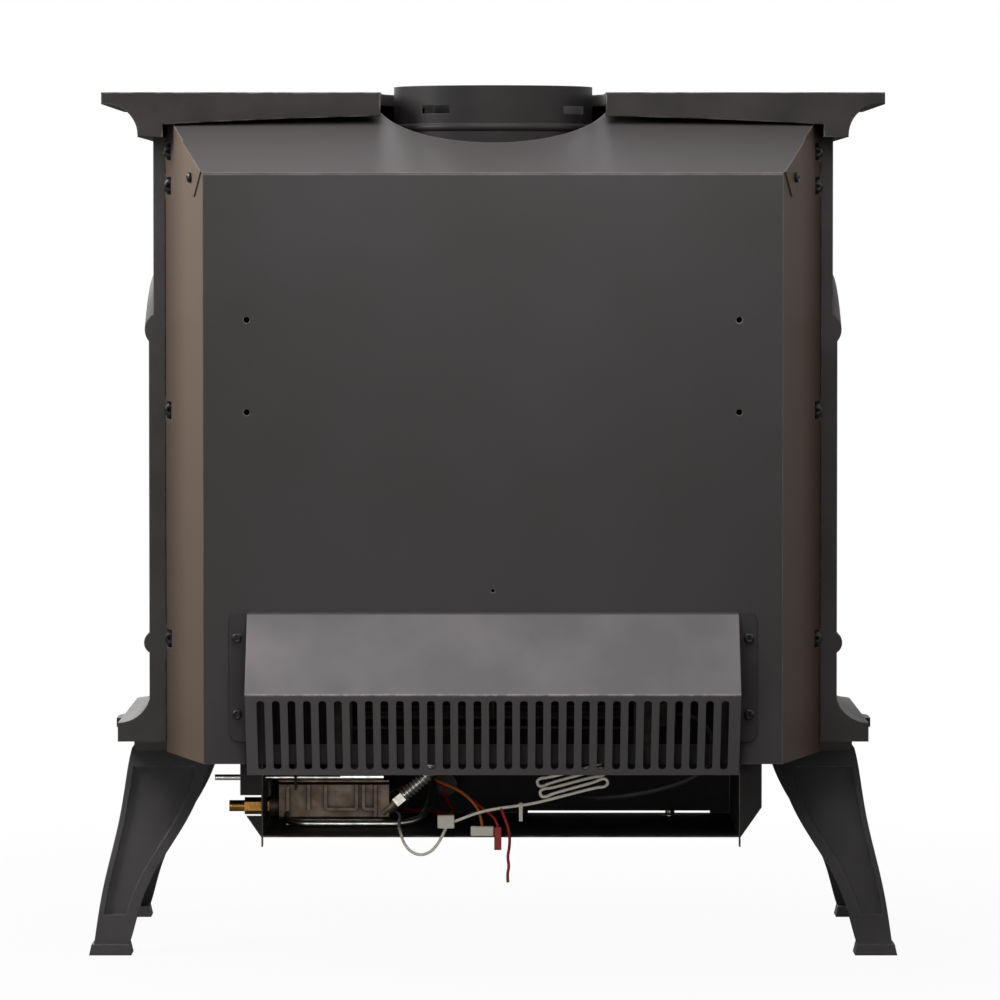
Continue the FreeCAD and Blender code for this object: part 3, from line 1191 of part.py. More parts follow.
def knob(x, radius):
    """Turning knob: a round skirt and a grip bar, bored for the valve's stem."""
    root = VALVE_Y[0] - KNOB_GAP
    front = root - KNOB_LENGTH
    skirt = rod(V(x, root, KNOB_Z), V(x, root - KNOB_LENGTH / 3, KNOB_Z), radius)
    core = rod(V(x, root, KNOB_Z), V(x, front, KNOB_Z), radius / 2)
    reach = radius * KNOB_GRIP_SHARE
    grip = box((x - KNOB_GRIP / 2, x + KNOB_GRIP / 2), (front, root), (KNOB_Z - reach, KNOB_Z + reach))
    stem_end = VALVE_Y[0] - STEM_LENGTH - LATCH_GAP
    bore = rod(V(x, root, KNOB_Z), V(x, stem_end, KNOB_Z), STEM_RADIUS + RUNNING_GAP)
    return skirt.fuse([core, grip]).removeSplitter().cut(bore)


def igniter_body():
    """Push igniter: a barrel through the tray's front wall with a flange outside."""
    face = V(IGNITER_X, TRAY_FRONT_Y, IGNITER_Z)
    barrel = rod(face, face + Y_AXIS * IGNITER_LENGTH, IGNITER_RADIUS)
    flange = rod(face - Y_AXIS * IGNITER_FLANGE, face, IGNITER_RADIUS + IGNITER_FLANGE)
    depth = BUTTON_STEM + BUTTON_TRAVEL + JOINT_GAP
    mouth = face - Y_AXIS * IGNITER_FLANGE
    return barrel.fuse(flange).cut(rod(mouth, mouth + Y_AXIS * depth, BUTTON_RADIUS + RUNNING_GAP))


def igniter_button():
    """Button that slides in the igniter's bore."""
    mouth = V(IGNITER_X, TRAY_FRONT_Y - IGNITER_FLANGE, IGNITER_Z)
    button = rod(mouth - Y_AXIS * BUTTON_PROUD, mouth + Y_AXIS * BUTTON_STEM, BUTTON_RADIUS)
    front = [edge for edge in button.Edges if edge.BoundBox.YMax < mouth.y - BUTTON_PROUD / 2]
    return button.makeFillet(BUTTON_RADIUS / 4, front)


def mixing_tube():
    """Air and gas mixer under the firebox's floor, open below."""
    low = ROD_Z + ROD_RADIUS + SHUTTER_GAP
    return tube(V(MIXER_X, MIXER_Y, low), V(MIXER_X, MIXER_Y, BASE_TOP), MIXER_RADIUS, MIXER_WALL)


def shutter_rod():
    """Sliding rod with the air shutter plate at its inner end."""
    inner = MIXER_X - SHUTTER_SIZE / 2
    bar = rod(V(inner, MIXER_Y, ROD_Z), V(ROD_END_X, MIXER_Y, ROD_Z), ROD_RADIUS)
    top = ROD_Z + ROD_RADIUS
    plate = box((inner, inner + SHUTTER_SIZE), (MIXER_Y - SHUTTER_SIZE / 2, MIXER_Y + SHUTTER_SIZE / 2),
                (top - SHUTTER_THICK, top))
    return bar.fuse(plate).removeSplitter()


def shutter_guide():
    """Small hanger under the firebox that the rod slides in."""
    plate = box((GUIDE_X, GUIDE_X + BRACKET_THICK), (MIXER_Y - GUIDE_WIDTH / 2, MIXER_Y + GUIDE_WIDTH / 2),
                (ROD_Z - GUIDE_WIDTH / 2, BASE_TOP))
    foot = box((GUIDE_X, GUIDE_X + GUIDE_WIDTH), (MIXER_Y - GUIDE_WIDTH / 2, MIXER_Y + GUIDE_WIDTH / 2),
               (BASE_TOP - BRACKET_THICK, BASE_TOP))
    face = V(GUIDE_X, MIXER_Y, ROD_Z)
    hole = rod(face, face + X_AXIS * BRACKET_THICK, ROD_RADIUS + RUNNING_GAP)
    return plate.fuse(foot).removeSplitter().cut(hole)


# The blower behind the cover
def axis_point(x):
    return V(x, BLOWER_AXIS_Y, BLOWER_AXIS_Z)


def blower_housing():
    """Open scroll between two end plates, hung on straps behind the panel's opening."""
    half, wall = BLOWER_HALF, HOUSING_WALL
    scroll = tube(axis_point(-half), axis_point(half), HOUSING_RADIUS, wall)
    inlet = box((-half, half), (BLOWER_AXIS_Y + HOUSING_RADIUS / 4, BLOWER_AXIS_Y + HOUSING_RADIUS),
                (BLOWER_AXIS_Z - HOUSING_RADIUS, BLOWER_AXIS_Z + HOUSING_RADIUS))
    outlet = box((-half, half), (BLOWER_AXIS_Y - HOUSING_RADIUS * 0.9, BLOWER_AXIS_Y - wall),
                 (BLOWER_AXIS_Z, BLOWER_AXIS_Z + HOUSING_RADIUS))
    scroll = scroll.cut([inlet, outlet])
    disc = rod(axis_point(half - wall), axis_point(half), HOUSING_RADIUS)
    arm = box((half - wall, half), (BLOWER_AXIS_Y, PANEL_INNER_Y),
              (BLOWER_AXIS_Z - HOUSING_RADIUS / 2, BLOWER_AXIS_Z + HOUSING_RADIUS / 2))
    strap = box((half - wall, half - wall + STRAP_WIDTH), (PANEL_INNER_Y - wall, PANEL_INNER_Y),
                (BLOWER_OPENING_LOW_Z - STRAP_LAP, BLOWER_OPENING_HIGH_Z + STRAP_LAP))
    bearing = rod(axis_point(half - wall), axis_point(half), SHAFT_RADIUS + RUNNING_GAP)
    end = disc.fuse([arm, strap]).removeSplitter().cut(bearing)
    return scroll.fuse([end, mirror_x(end)]).removeSplitter()


def blower_motor():
    """Motor on the right end plate, with a terminal block below."""
    start = -BLOWER_HALF
    can = rod(axis_point(start), axis_point(start - MOTOR_LENGTH), MOTOR_RADIUS)
    low = BLOWER_AXIS_Z - MOTOR_RADIUS
    block = box((start - MOTOR_LENGTH, start - MOTOR_LENGTH / 3),
                (BLOWER_AXIS_Y - TERMINAL_BLOCK, BLOWER_AXIS_Y + TERMINAL_BLOCK),
                (low - TERMINAL_DROP, low + TERMINAL_BLOCK))
    bore = rod(axis_point(start), axis_point(start - MOTOR_LENGTH / 2), SHAFT_RADIUS + RUNNING_GAP)
    return can.fuse(block).removeSplitter().cut(bore)


def blower_rotor():
    """Drum of blades between discs, on a shaft."""
    end = BLOWER_HALF - HOUSING_WALL - ROTOR_GAP
    discs = [rod(axis_point(x), axis_point(x + DISC_THICK), ROTOR_RADIUS)
             for x in (-end, -DISC_THICK / 2, end - DISC_THICK)]
    blades = []
    for count in range(BLADE_COUNT):
        blade = box((-end, end), (-BLADE_THICK / 2, BLADE_THICK / 2),
                    (ROTOR_RADIUS - BLADE_DEPTH, ROTOR_RADIUS - BLADE_THICK))
        blade.rotate(V(0, 0, 0), X_AXIS, 360 * count / BLADE_COUNT)
        blade.translate(axis_point(0))
        blades.append(blade)
    shaft_end = JOINT_GAP - BLOWER_HALF - MOTOR_LENGTH / 2
    shaft = rod(axis_point(shaft_end), axis_point(BLOWER_HALF + ROTOR_GAP), SHAFT_RADIUS)
    return discs[0].fuse(discs[1:] + blades + [shaft]).removeSplitter()


# The wiring
def cord_path(points):
    """Straight runs joined by tangent arcs, each as large as its two runs allow."""
    edges, radii = [], []
    last = points[0]
    for before, here, after in zip(points, points[1:], points[2:]):
        into = (here - before).normalize()
        away = (after - here).normalize()
        half_turn = into.getAngle(away) / 2
        setback = BEND_SHARE * min((here - before).Length, (after - here).Length)
        radius = setback / math.tan(half_turn)
        inward = (away - into).normalize()
        centre = here + inward * (radius / math.cos(half_turn))
        start, end = here - into * setback, here + away * setback
        edges += [line(last, start), arc(start, centre - inward * radius, end)]
        radii.append(radius)
        last = end
    edges.append(line(last, points[-1]))
    return edges, radii


def swept(name, edges, radius, radii):
    """Round bar along joined edges; prints its length, tightest bend and volume over section times length."""
    path = Part.Wire(edges)
    start = edges[0].valueAt(edges[0].FirstParameter)
    tangent = edges[0].tangentAt(edges[0].FirstParameter)
    section = Part.Wire(Part.makeCircle(radius, start, tangent))
    solid = path.makePipeShell([section], True, False)
    share = solid.Volume / (math.pi * radius * radius * path.Length)
    print(f"{name}: length {path.Length:.0f}, tightest bend {min(radii):.1f}, volume share {share:.3f}")
    return solid


def cord(name, route, radius):
    edges, radii = cord_path([V(*point) for point in route])
    return swept(name, edges, radius, radii)


# Routes of the loose wiring, each point chosen by hand
PILOT_TUBE_ROUTE = ((173.5, 99.5, 122), (174, 110, 117.5), (162, 118, 115.3), (120, 118.5, 115.3),
                    (76, 118, 115.3), (60, 106, 119), (52, 80, 132), (50, 52, 150), (50, 34, 168),
                    (50, 30, 182))
VALVE_LEAD_ROUTE = ((88, 62, 124), (81, 75, 121.5), (79.5, 91, 120.5), (78.5, 108, 121), (78, 127, 121.5),
                    (78.5, 147, 121), (78, 167, 120.5), (78.5, 185, 119), (77, 199, 115.5),
                    (74.5, 207, 108), (69, 210, 100.5), (60.5, 211, 97), (52, 210.5, 99.5),
                    (46, 209.5, 106), (42, 208.5, 113), (39, 208, 119.5))
FAN_LEAD_ROUTE = ((32, 208, 125), (22, 208, 129), (9, 208.3, 133.5), (-4, 208.6, 136),
                  (-16, 208.6, 137.5), (-30, 208.4, 139.4), (-44, 208, 142.5))
MOTOR_LEAD_TAIL = ((-100, 207, 178), (-113, 202, 184), (-125, 196, 190), (-133, 189, 196),
                   (-136, 184, 203))
ORANGE_ROUTE = ((88, 50, 135), (76, 48, 141), (62, 52, 147), (50, 62, 152), (41, 78, 155.5),
                (37, 98, 157.5), (39, 118, 158), (44, 136, 157.5), (48, 152, 157), (47.5, 167, 156),
                (41, 180, 154.5), (32, 189, 151.5), (23, 196, 146.5), (15.5, 200.5, 139.5),
                (10.5, 203.5, 131), (9, 206.5, 121))
RED_ROUTE = ((88, 45, 124), (77, 47, 122), (64, 54, 121), (52, 66, 121.5), (42, 82, 121), (33, 100, 122),
             (34, 116, 127), (38, 132, 136), (42, 146, 145), (43, 159, 151), (38, 172, 152.5),
             (30, 183, 150), (22, 190.5, 145), (13, 195, 138.5), (4, 201, 132), (-2.5, 205, 126.5),
             (-4, 208.5, 120.5))
RED_TAIL_ROUTE = ((-6.5, 208.6, 136.2), (-9, 211.5, 130), (-12.5, 212, 121), (-14, 211.5, 112),
                  (-13.5, 210.5, 103.5), (-12, 209.5, 95.5), (-13.4, 209.3, 88), (-11.8, 209, 81),
                  (-12.4, 209, 74.5))
BLACK_ROUTE = ((-152, 185, 214), (-164, 187, 213), (-175, 189, 207), (-182, 190.5, 196.5),
               (-183.5, 191, 184), (-180, 191, 172.5), (-171.5, 190.5, 163.5), (-159, 189.5, 157),
               (-145, 188.5, 152), (-122, 187, 146.5), (-101, 183.5, 143.5), (-85, 175, 142),
               (-74, 160, 142), (-66, 138, 142), (-60, 108, 142), (-54.5, 72, 142), (-50.5, 32, 142),
               (-48, -26.3, 142))


def hank_frame():
    """Start of the hank, the direction of its runs and the direction in which they stack."""
    tilt = math.radians(HANK_TILT)
    return V(*FAN_LEAD_ROUTE[-1]), V(-math.cos(tilt), 0, math.sin(tilt)), V(math.sin(tilt), 0, math.cos(tilt))


def hank_point(run, share):
    start, along, up = hank_frame()
    return start + along * (HANK_LENGTH * share) + up * (HANK_PITCH * run)


def wire_hank():
    """Folded hank: long runs joined by half turns, one unbroken wire."""
    along = hank_frame()[1]
    edges = []
    for run in range(HANK_RUNS):
        first, last = (0, 1) if run % 2 == 0 else (1, 0)
        edges.append(line(hank_point(run, first), hank_point(run, last)))
        if run < HANK_RUNS - 1:
            bow = along * (HANK_PITCH / 2 if last else -HANK_PITCH / 2)
            edges.append(bulge(hank_point(run, last), hank_point(run + 1, last), bow))
    print(f"wire_hank: least gap to itself {HANK_PITCH - 2 * LEAD_RADIUS:.2f}")
    return swept("wire_hank", edges, LEAD_RADIUS, [HANK_PITCH / 2])


def motor_lead():
    """Lead from the end of the hank up to the motor."""
    end = hank_point(HANK_RUNS - 1, 1 if HANK_RUNS % 2 else 0)
    edges, radii = cord_path([end] + [V(*point) for point in MOTOR_LEAD_TAIL])
    return swept("motor_lead", edges, LEAD_RADIUS, radii)


def block_at(top, size):
    """Small plastic block whose top face is centred on a point."""
    width, depth, height = size
    block = box((top.x - width / 2, top.x + width / 2), (top.y - depth / 2, top.y + depth / 2),
                (top.z - height, top.z))
    return block.makeFillet(min(size) / 8, block.Edges)


def lead_connector():
    foot = V(*VALVE_LEAD_ROUTE[-1])
    return block_at(foot + Z_AXIS * CONNECTOR_SIZE[2], CONNECTOR_SIZE)


def cable_tie():
    """Tie round the lead with its cut tail."""
    first, last = V(*FAN_LEAD_ROUTE[-3]), V(*FAN_LEAD_ROUTE[-2])
    along = (last - first).normalize()
    middle = (first + last) * 0.5
    inner = LEAD_RADIUS + TIE_GAP
    ends = (middle - along * (TIE_WIDTH / 2), middle + along * (TIE_WIDTH / 2))
    ring = tube(ends[0], ends[1], inner + TIE_THICK, TIE_THICK)
    tail = box((middle.x - TIE_WIDTH / 2, middle.x + TIE_WIDTH / 2),
               (middle.y + inner, middle.y + inner + TIE_THICK), (middle.z - TIE_TAIL, middle.z))
    return ring.fuse(tail).removeSplitter()


def build():
    """Every node of the stove by name."""
    side, rear_leg, left_latch, bars = side_casting(), leg(), latch(), grate()
    return {
        "top_casting": top_casting(), "base_casting": base_casting(), "front_casting": front_casting(),
        "side_casting_left": side, "side_casting_right": mirror_x(side),
        "leg_rear_left": rear_leg, "leg_rear_right": mirror_x(rear_leg),
        "leg_front_left": to_front(rear_leg), "leg_front_right": mirror_x(to_front(rear_leg)),
        "leg_bolts": leg_bolts(), "rear_panel": rear_panel(), "shroud_top": shroud_top(),
        "casting_screws": casting_screws(), "sheet_screws": sheet_screws(), "blower_cover": blower_cover(),
        "outer_collar": outer_collar(), "inner_collar": inner_collar(),
        "firebox": firebox(), "firebox_roof": firebox_roof(),
        "glass_panel": glass_panel(), "glass_gasket": glass_gasket(),
        "glass_frame": glass_frame(), "latch_left": left_latch, "latch_right": mirror_x(left_latch),
        "latch_pins": latch_pins(), "burner": burner(), "grate": bars,
        "pilot_burner": pilot_burner(), "thermopile": thermopile(),
        "valve_tray": valve_tray(), "valve_body": valve_body(), "log_set": log_set(bars),
        "valve_bracket": valve_bracket(), "inlet_fitting": inlet_fitting(),
        "gas_knob": knob(GAS_KNOB_X, GAS_KNOB_RADIUS), "flame_knob": knob(FLAME_KNOB_X, FLAME_KNOB_RADIUS),
        "igniter_body": igniter_body(), "igniter_button": igniter_button(),
        "flex_tube": flex_tube(), "flex_nuts": flex_nuts(),
        "pilot_tube": cord("pilot_tube", PILOT_TUBE_ROUTE, PILOT_TUBE_RADIUS),
        "mixing_tube": mixing_tube(), "shutter_rod": shutter_rod(), "shutter_guide": shutter_guide(),
        "blower_housing": blower_housing(), "blower_motor": blower_motor(), "blower_rotor": blower_rotor(),
        "valve_lead": cord("valve_lead", VALVE_LEAD_ROUTE, LEAD_RADIUS),
        "fan_lead": cord("fan_lead", FAN_LEAD_ROUTE, LEAD_RADIUS),
        "wire_hank": wire_hank(), "motor_lead": motor_lead(),
        "lead_connector": lead_connector(), "cable_tie": cable_tie(),
        "orange_wire": cord("orange_wire", ORANGE_ROUTE, LEAD_RADIUS),
        "red_wire": cord("red_wire", RED_ROUTE, LEAD_RADIUS),
        "red_tail": cord("red_tail", RED_TAIL_ROUTE, LEAD_RADIUS),
        "flag_terminal": block_at(V(*ORANGE_ROUTE[-1]), FLAG_SIZE),
        "red_terminal": block_at(V(*RED_ROUTE[-1]), RED_TERMINAL_SIZE),
        "black_cable": cord("black_cable", BLACK_ROUTE, CABLE_RADIUS),
    }


os.makedirs("parts", exist_ok=True)
for name, shape in build().items():
    if not shape.isValid():
        print("invalid:", name)
    shape.exportStep(f"parts/{name}.step")
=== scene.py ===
# %% [markdown]
# # A cast iron gas stove, seen from behind
# The stove is made of castings, folded sheet, a gas valve and loose wiring. Its solids come packed
# from CAD, in metres, and stay where they are. This lesson gives each one the finish of the real
# piece, carves the fire logs, cuts the screw heads, lays the wiring again as smooth curves, and
# lights the whole in a plain white studio.

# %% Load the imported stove
import math

import bpy
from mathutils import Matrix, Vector


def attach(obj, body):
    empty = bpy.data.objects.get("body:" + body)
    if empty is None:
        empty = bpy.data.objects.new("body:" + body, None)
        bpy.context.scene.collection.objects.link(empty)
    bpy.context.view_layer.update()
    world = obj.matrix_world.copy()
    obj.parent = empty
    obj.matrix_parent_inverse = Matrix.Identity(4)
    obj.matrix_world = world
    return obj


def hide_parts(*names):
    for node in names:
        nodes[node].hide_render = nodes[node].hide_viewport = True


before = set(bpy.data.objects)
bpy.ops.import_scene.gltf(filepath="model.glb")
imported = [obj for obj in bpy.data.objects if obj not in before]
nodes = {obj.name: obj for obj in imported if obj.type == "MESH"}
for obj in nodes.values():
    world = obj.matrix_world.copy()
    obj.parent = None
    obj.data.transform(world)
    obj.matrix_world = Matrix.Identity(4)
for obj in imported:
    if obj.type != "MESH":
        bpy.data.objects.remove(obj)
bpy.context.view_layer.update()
scene = bpy.context.scene
bpy.ops.object.select_all(action="DESELECT")
MM = 0.001

# %% [markdown]
# ## The camera
# A long lens far behind the stove keeps its sides square, as in the photograph. The camera stands a
# little below the height of the stove's top and is tipped down by about two degrees, so the
# horizon falls in the upper part of the picture. A tilt is better than a lens shift, because a
# shift would push the stove aside in every other view.

# %% Place the camera
LENS_MM = 240.0
SENSOR_MM = 36.0
HORIZON_ABOVE_CENTRE = 0.26      # share of the picture's height
CAMERA_AT = (-0.0058, 5.7185, 0.6066)
FAR_CLIP = 50.0
camera_data = bpy.data.cameras.new("studio_camera")
camera_data.lens = LENS_MM
camera_data.sensor_width = SENSOR_MM
camera_data.clip_end = FAR_CLIP
camera = bpy.data.objects.new("studio_camera", camera_data)
scene.collection.objects.link(camera)
tip = math.atan(HORIZON_ABOVE_CENTRE * SENSOR_MM / LENS_MM)
camera.location = CAMERA_AT
camera.rotation_euler = (math.pi / 2 - tip, 0, math.pi)
scene.camera = camera
scene.view_settings.view_transform = "Standard"
print("camera tipped down by", round(math.degrees(tip), 2), "degrees")

# %% [markdown]
# ## Helpers for nodes and colour
# Every finish below is a small graph of nodes. The first helper adds one node, sets its sockets and
# properties, and links what feeds it. Colours are written as sRGB hex values, as a paint chart
# gives them, and turned to linear light once.

# %% Nodes, colours and finishes
def add_node(tree, kind, settings=None, links=None):
    made = tree.nodes.new(kind)
    for name, value in (settings or {}).items():
        if isinstance(name, int) or name in made.inputs:
            made.inputs[name].default_value = value
        else:
            setattr(made, name, value)
    for name, source in (links or {}).items():
        tree.links.new(source, made.inputs[name])
    return made


def linear(hex_colour):
    shares = [int(hex_colour[i:i + 2], 16) / 255 for i in (1, 3, 5)]
    light = [s / 12.92 if s <= 0.04045 else ((s + 0.055) / 1.055) ** 2.4 for s in shares]
    return (*light, 1.0)


def start_finish(name, colour, **sockets):
    """A new material with its Principled shader set, and its Object coordinates."""
    made = bpy.data.materials.new(name)
    made.use_nodes = True
    tree = made.node_tree
    shader = tree.nodes["Principled BSDF"]
    shader.inputs["Base Color"].default_value = linear(colour)
    for socket, value in sockets.items():
        title = socket.replace("_", " ").title().replace("Ior", "IOR")
        shader.inputs[title].default_value = value
    place = add_node(tree, "ShaderNodeTexCoord").outputs["Object"]
    return made, tree, shader, place


def reopen(finish):
    """The tree, the shader, the Object coordinates and the colour of a finish made before."""
    tree = finish.node_tree
    shader = tree.nodes["Principled BSDF"]
    place = tree.nodes["Texture Coordinate"].outputs["Object"]
    return tree, shader, place, shader.inputs["Base Color"].links[0].from_socket


def dress(finish, *names):
    """Gives solids of the frame a finish."""
    for name in names:
        nodes[name].data.materials.clear()
        nodes[name].data.materials.append(finish)


# %% [markdown]
# A few kinds of node come back in many finishes, so each has a function of its own. They take
# and give sockets. A colour may also be a hex value, and a term of a sum a number.

# %% Nodes that come back
def noise(tree, place, size_mm, detail):
    """Clouds about size_mm across."""
    settings = {"Scale": 1 / (size_mm * MM), "Detail": detail}
    return add_node(tree, "ShaderNodeTexNoise", settings, {"Vector": place}).outputs["Fac"]


def ramp(tree, value, start, end, least=0.0, most=1.0):
    """Goes from least to most while the value goes from start to end."""
    limits = {"From Min": start, "From Max": end, "To Min": least, "To Max": most}
    return add_node(tree, "ShaderNodeMapRange", limits, {"Value": value}).outputs["Result"]


def maths(tree, operation, *terms):
    made = add_node(tree, "ShaderNodeMath", {"operation": operation})
    for index, term in enumerate(terms):
        if isinstance(term, float):
            made.inputs[index].default_value = term
        else:
            tree.links.new(term, made.inputs[index])
    return made.outputs["Value"]


def mix(tree, share, first, second):
    made = add_node(tree, "ShaderNodeMixRGB", None, {"Fac": share})
    for socket, colour in (("Color1", first), ("Color2", second)):
        if isinstance(colour, str):
            made.inputs[socket].default_value = linear(colour)
        else:
            tree.links.new(colour, made.inputs[socket])
    return made.outputs["Color"]


def axes(tree, vector):
    return add_node(tree, "ShaderNodeSeparateXYZ", None, {0: vector}).outputs


def true_normal(tree):
    return add_node(tree, "ShaderNodeNewGeometry").outputs["True Normal"]


def feed(tree, shader, sources):
    """Links sockets to the inputs of a shader."""
    for name, source in sources.items():
        tree.links.new(source, shader.inputs[name])


# %% [markdown]
# ## Stove paint
# The castings and the sheet are sprayed with black high-temperature paint. On sand-cast iron it lies
# matt over a coarse grain. On rolled sheet it is smoother, with a faint orange peel and wiped
# smudges. Edges and folds rub through to grey metal, and castings chip there. A Bevel node finds
# those edges: where a rounded normal would differ from the true one, there is an edge. The same
# rounded normal gives each fold the soft highlight of a bent sheet. Where a finish gives its edges a
# least share of the bare colour, an even light line runs along every edge and fold. That line is a
# painted highlight, and the chipped wear lies on top of it.

# %% Paint with worn edges
CLEAN_TO_DUSTY = (0.36, 0.66)    # values of the smudge noise
SOUND_TO_CHIPPED = (0.4, 0.66)   # values of the chip noise
FLAT_TO_EDGE = (0.997, 0.93)     # agreement of the rounded normal with the true one
PAINT_SPECULAR = 0.12


def stove_paint(name, coat, dusty, bare, grain_mm, grain_depth_mm, smudge_mm, gloss, rub_mm,
                rub_and_highlight_amount, chip_mm):
    """The share of the bare colour on an edge goes from least to most with the chip noise, and
    chip_mm is the size of a worn patch. The least share is an even light line along every edge, a
    painted highlight; the rest is wear."""
    made, tree, shader, place = start_finish(name, coat, roughness=gloss[0],
                                             specular_ior_level=PAINT_SPECULAR)
    smudge = noise(tree, place, smudge_mm, 4.0)
    grain = noise(tree, place, grain_mm, 3.0)
    chip = noise(tree, place, chip_mm, 3.0)
    skin = mix(tree, ramp(tree, smudge, *CLEAN_TO_DUSTY), coat, dusty)
    bevel = add_node(tree, "ShaderNodeBevel", {"Radius": rub_mm * MM, "samples": 6})
    rounded = bevel.outputs["Normal"]
    agreement = add_node(tree, "ShaderNodeVectorMath", {"operation": "DOT_PRODUCT"},
                         {0: rounded, 1: true_normal(tree)}).outputs["Value"]
    edge_rub_and_highlight = maths(tree, "MULTIPLY", ramp(tree, agreement, *FLAT_TO_EDGE),
                ramp(tree, chip, *SOUND_TO_CHIPPED, *rub_and_highlight_amount))
    bump = add_node(tree, "ShaderNodeBump", {"Distance": grain_depth_mm * MM, "Strength": 1.0},
                    {"Height": grain, "Normal": rounded})
    feed(tree, shader, {"Base Color": mix(tree, edge_rub_and_highlight, skin, bare),
                        "Roughness": ramp(tree, smudge, 0.0, 1.0, *gloss),
                        "Normal": bump.outputs["Normal"]})
    return made


# %% Paints of the stove
# Sand grain is about 0.4 mm, drawn at 1.6 mm so that it shows from the camera
SAND = {"grain_mm": 1.6, "grain_depth_mm": 0.12}
# Orange peel of a sprayed coat is about 2 mm from crest to crest
PEEL = {"grain_mm": 2.0, "grain_depth_mm": 0.012}
cast_paint = stove_paint("matt_paint_on_sand_cast_iron", "#403e3c", "#4a4747", "#8b847c", **SAND,
                         smudge_mm=60, gloss=(0.52, 0.68), rub_mm=1.4, rub_and_highlight_amount=(0.0, 0.45),
                         chip_mm=9)
top_paint = stove_paint("fresh_matt_paint_on_the_top", "#2a2727", "#363332", "#b0a89c", **SAND,
                        smudge_mm=60, gloss=(0.52, 0.68), rub_mm=2.0, rub_and_highlight_amount=(0.0, 0.6),
                        chip_mm=14)
# The base's coat is darker than the castings': painted shade for the base, which is set back under
# the sides.
base_paint_in_painted_shade = stove_paint("matt_paint_on_the_base_in_painted_shade", "#292626", "#343130", "#3d3936", **SAND,
                         smudge_mm=60, gloss=(0.52, 0.68), rub_mm=1.4, rub_and_highlight_amount=(0.0, 0.4),
                         chip_mm=14)
leg_paint = stove_paint("matt_paint_on_the_legs", "#434142", "#4e4c4d", "#8b847c", **SAND,
                        smudge_mm=50, gloss=(0.6, 0.72), rub_mm=1.4, rub_and_highlight_amount=(0.0, 0.35),
                        chip_mm=9)
# On the sheet, the even light line along every fold is a painted highlight, and the chips are wear.
sheet_paint = stove_paint("satin_paint_on_rolled_sheet", "#3e3b3b", "#423f40", "#8f8a86", **PEEL,
                          smudge_mm=160, gloss=(0.42, 0.5), rub_mm=1.4, rub_and_highlight_amount=(0.45, 0.75),
                          chip_mm=30)
# The coat is lighter than the back's: a painted sheen.
cover_paint_with_painted_sheen = stove_paint("satin_paint_on_the_blower_cover_with_painted_sheen", "#5a5859", "#6a6667", "#8f8a86",
                          **PEEL, smudge_mm=70, gloss=(0.42, 0.52), rub_mm=1.2,
                          rub_and_highlight_amount=(0.1, 0.4), chip_mm=26)
collar_paint = stove_paint("satin_paint_on_the_flue_collar", "#201f1f", "#282525", "#6a655f",
                           **PEEL, smudge_mm=60, gloss=(0.42, 0.52), rub_mm=0.8,
                           rub_and_highlight_amount=(0.1, 0.4), chip_mm=14)
tray_paint = stove_paint("flat_paint_on_the_tray", "#232121", "#2e2c2c", "#b5afa7", grain_mm=1.8,
                         grain_depth_mm=0.02, smudge_mm=40, gloss=(0.55, 0.7), rub_mm=1.2,
                         rub_and_highlight_amount=(0.25, 0.85), chip_mm=22)
fire_paint = stove_paint("flat_paint_in_the_firebox", "#151413", "#211d1a", "#4a443e", grain_mm=1.2,
                         grain_depth_mm=0.05, smudge_mm=45, gloss=(0.75, 0.88), rub_mm=1.0,
                         rub_and_highlight_amount=(0.0, 0.3), chip_mm=12)
dress(cast_paint, "front_casting", "side_casting_left", "side_casting_right", "grate")
dress(top_paint, "top_casting")
dress(base_paint_in_painted_shade, "base_casting")
dress(leg_paint, "leg_rear_left", "leg_rear_right", "leg_front_left", "leg_front_right")
dress(sheet_paint, "rear_panel", "shroud_top", "glass_frame")
dress(cover_paint_with_painted_sheen, "blower_cover")
dress(collar_paint, "outer_collar")
dress(tray_paint, "valve_tray")
dress(fire_paint, "firebox", "firebox_roof")
print("castings, sheet, tray and firebox painted")

# %% [markdown]
# ### The slanting sides
# The slanting sides of the shroud have turned brown and dull with heat, and the back and the slope
# above it have not. Only the sides face across the stove, so the X share of the surface normal is
# the mask. The tint deepens from the fold to the castings, partly as heat tint and partly as painted
# shade where the castings close in the sides, so the distance from the middle sets its colour.

# %% Brown the slanting sides
BACK_TO_SIDE = (0.6, 0.9)        # X share of the normal
FOLD_X_MM, CASTING_X_MM = 256, 283
BROWN_MOST = 0.8
DEEP_TINT_AND_SHADE_MOST = 0.85
DULL_SPECULAR = 0.02
tree, shader, place, painted = reopen(sheet_paint)
sideways = maths(tree, "ABSOLUTE", axes(tree, true_normal(tree))["X"])
off_middle = maths(tree, "ABSOLUTE", axes(tree, place)["X"])
# Darker towards the castings: heat tint and painted shade.
deeper_tint_and_shade = ramp(tree, off_middle, FOLD_X_MM * MM, CASTING_X_MM * MM, 0.0, DEEP_TINT_AND_SHADE_MOST)
tint_and_shade = mix(tree, deeper_tint_and_shade, "#635448", "#29221d")
heated = ramp(tree, sideways, *BACK_TO_SIDE, 0.0, BROWN_MOST)
dulled = ramp(tree, sideways, *BACK_TO_SIDE, PAINT_SPECULAR, DULL_SPECULAR)
feed(tree, shader, {"Base Color": mix(tree, heated, painted, tint_and_shade), "Specular IOR Level": dulled})
print("the slanting sides are browned and dulled")

# %% [markdown]
# ### The blower cover
# Where the cover stands out from the back, its coat is lighter than the back's: a painted sheen on
# its upward slope. Its slotted front gets a lighter copy of that coat, which is painted light. The
# light line along its fold is partly wear through to the metal and partly a painted highlight. Its
# flanges, flat on the back, are as dark as the back. Three masks do this: the slotted front faces
# down, the fold has one height, and the flanges lie within a sheet's thickness of the back.

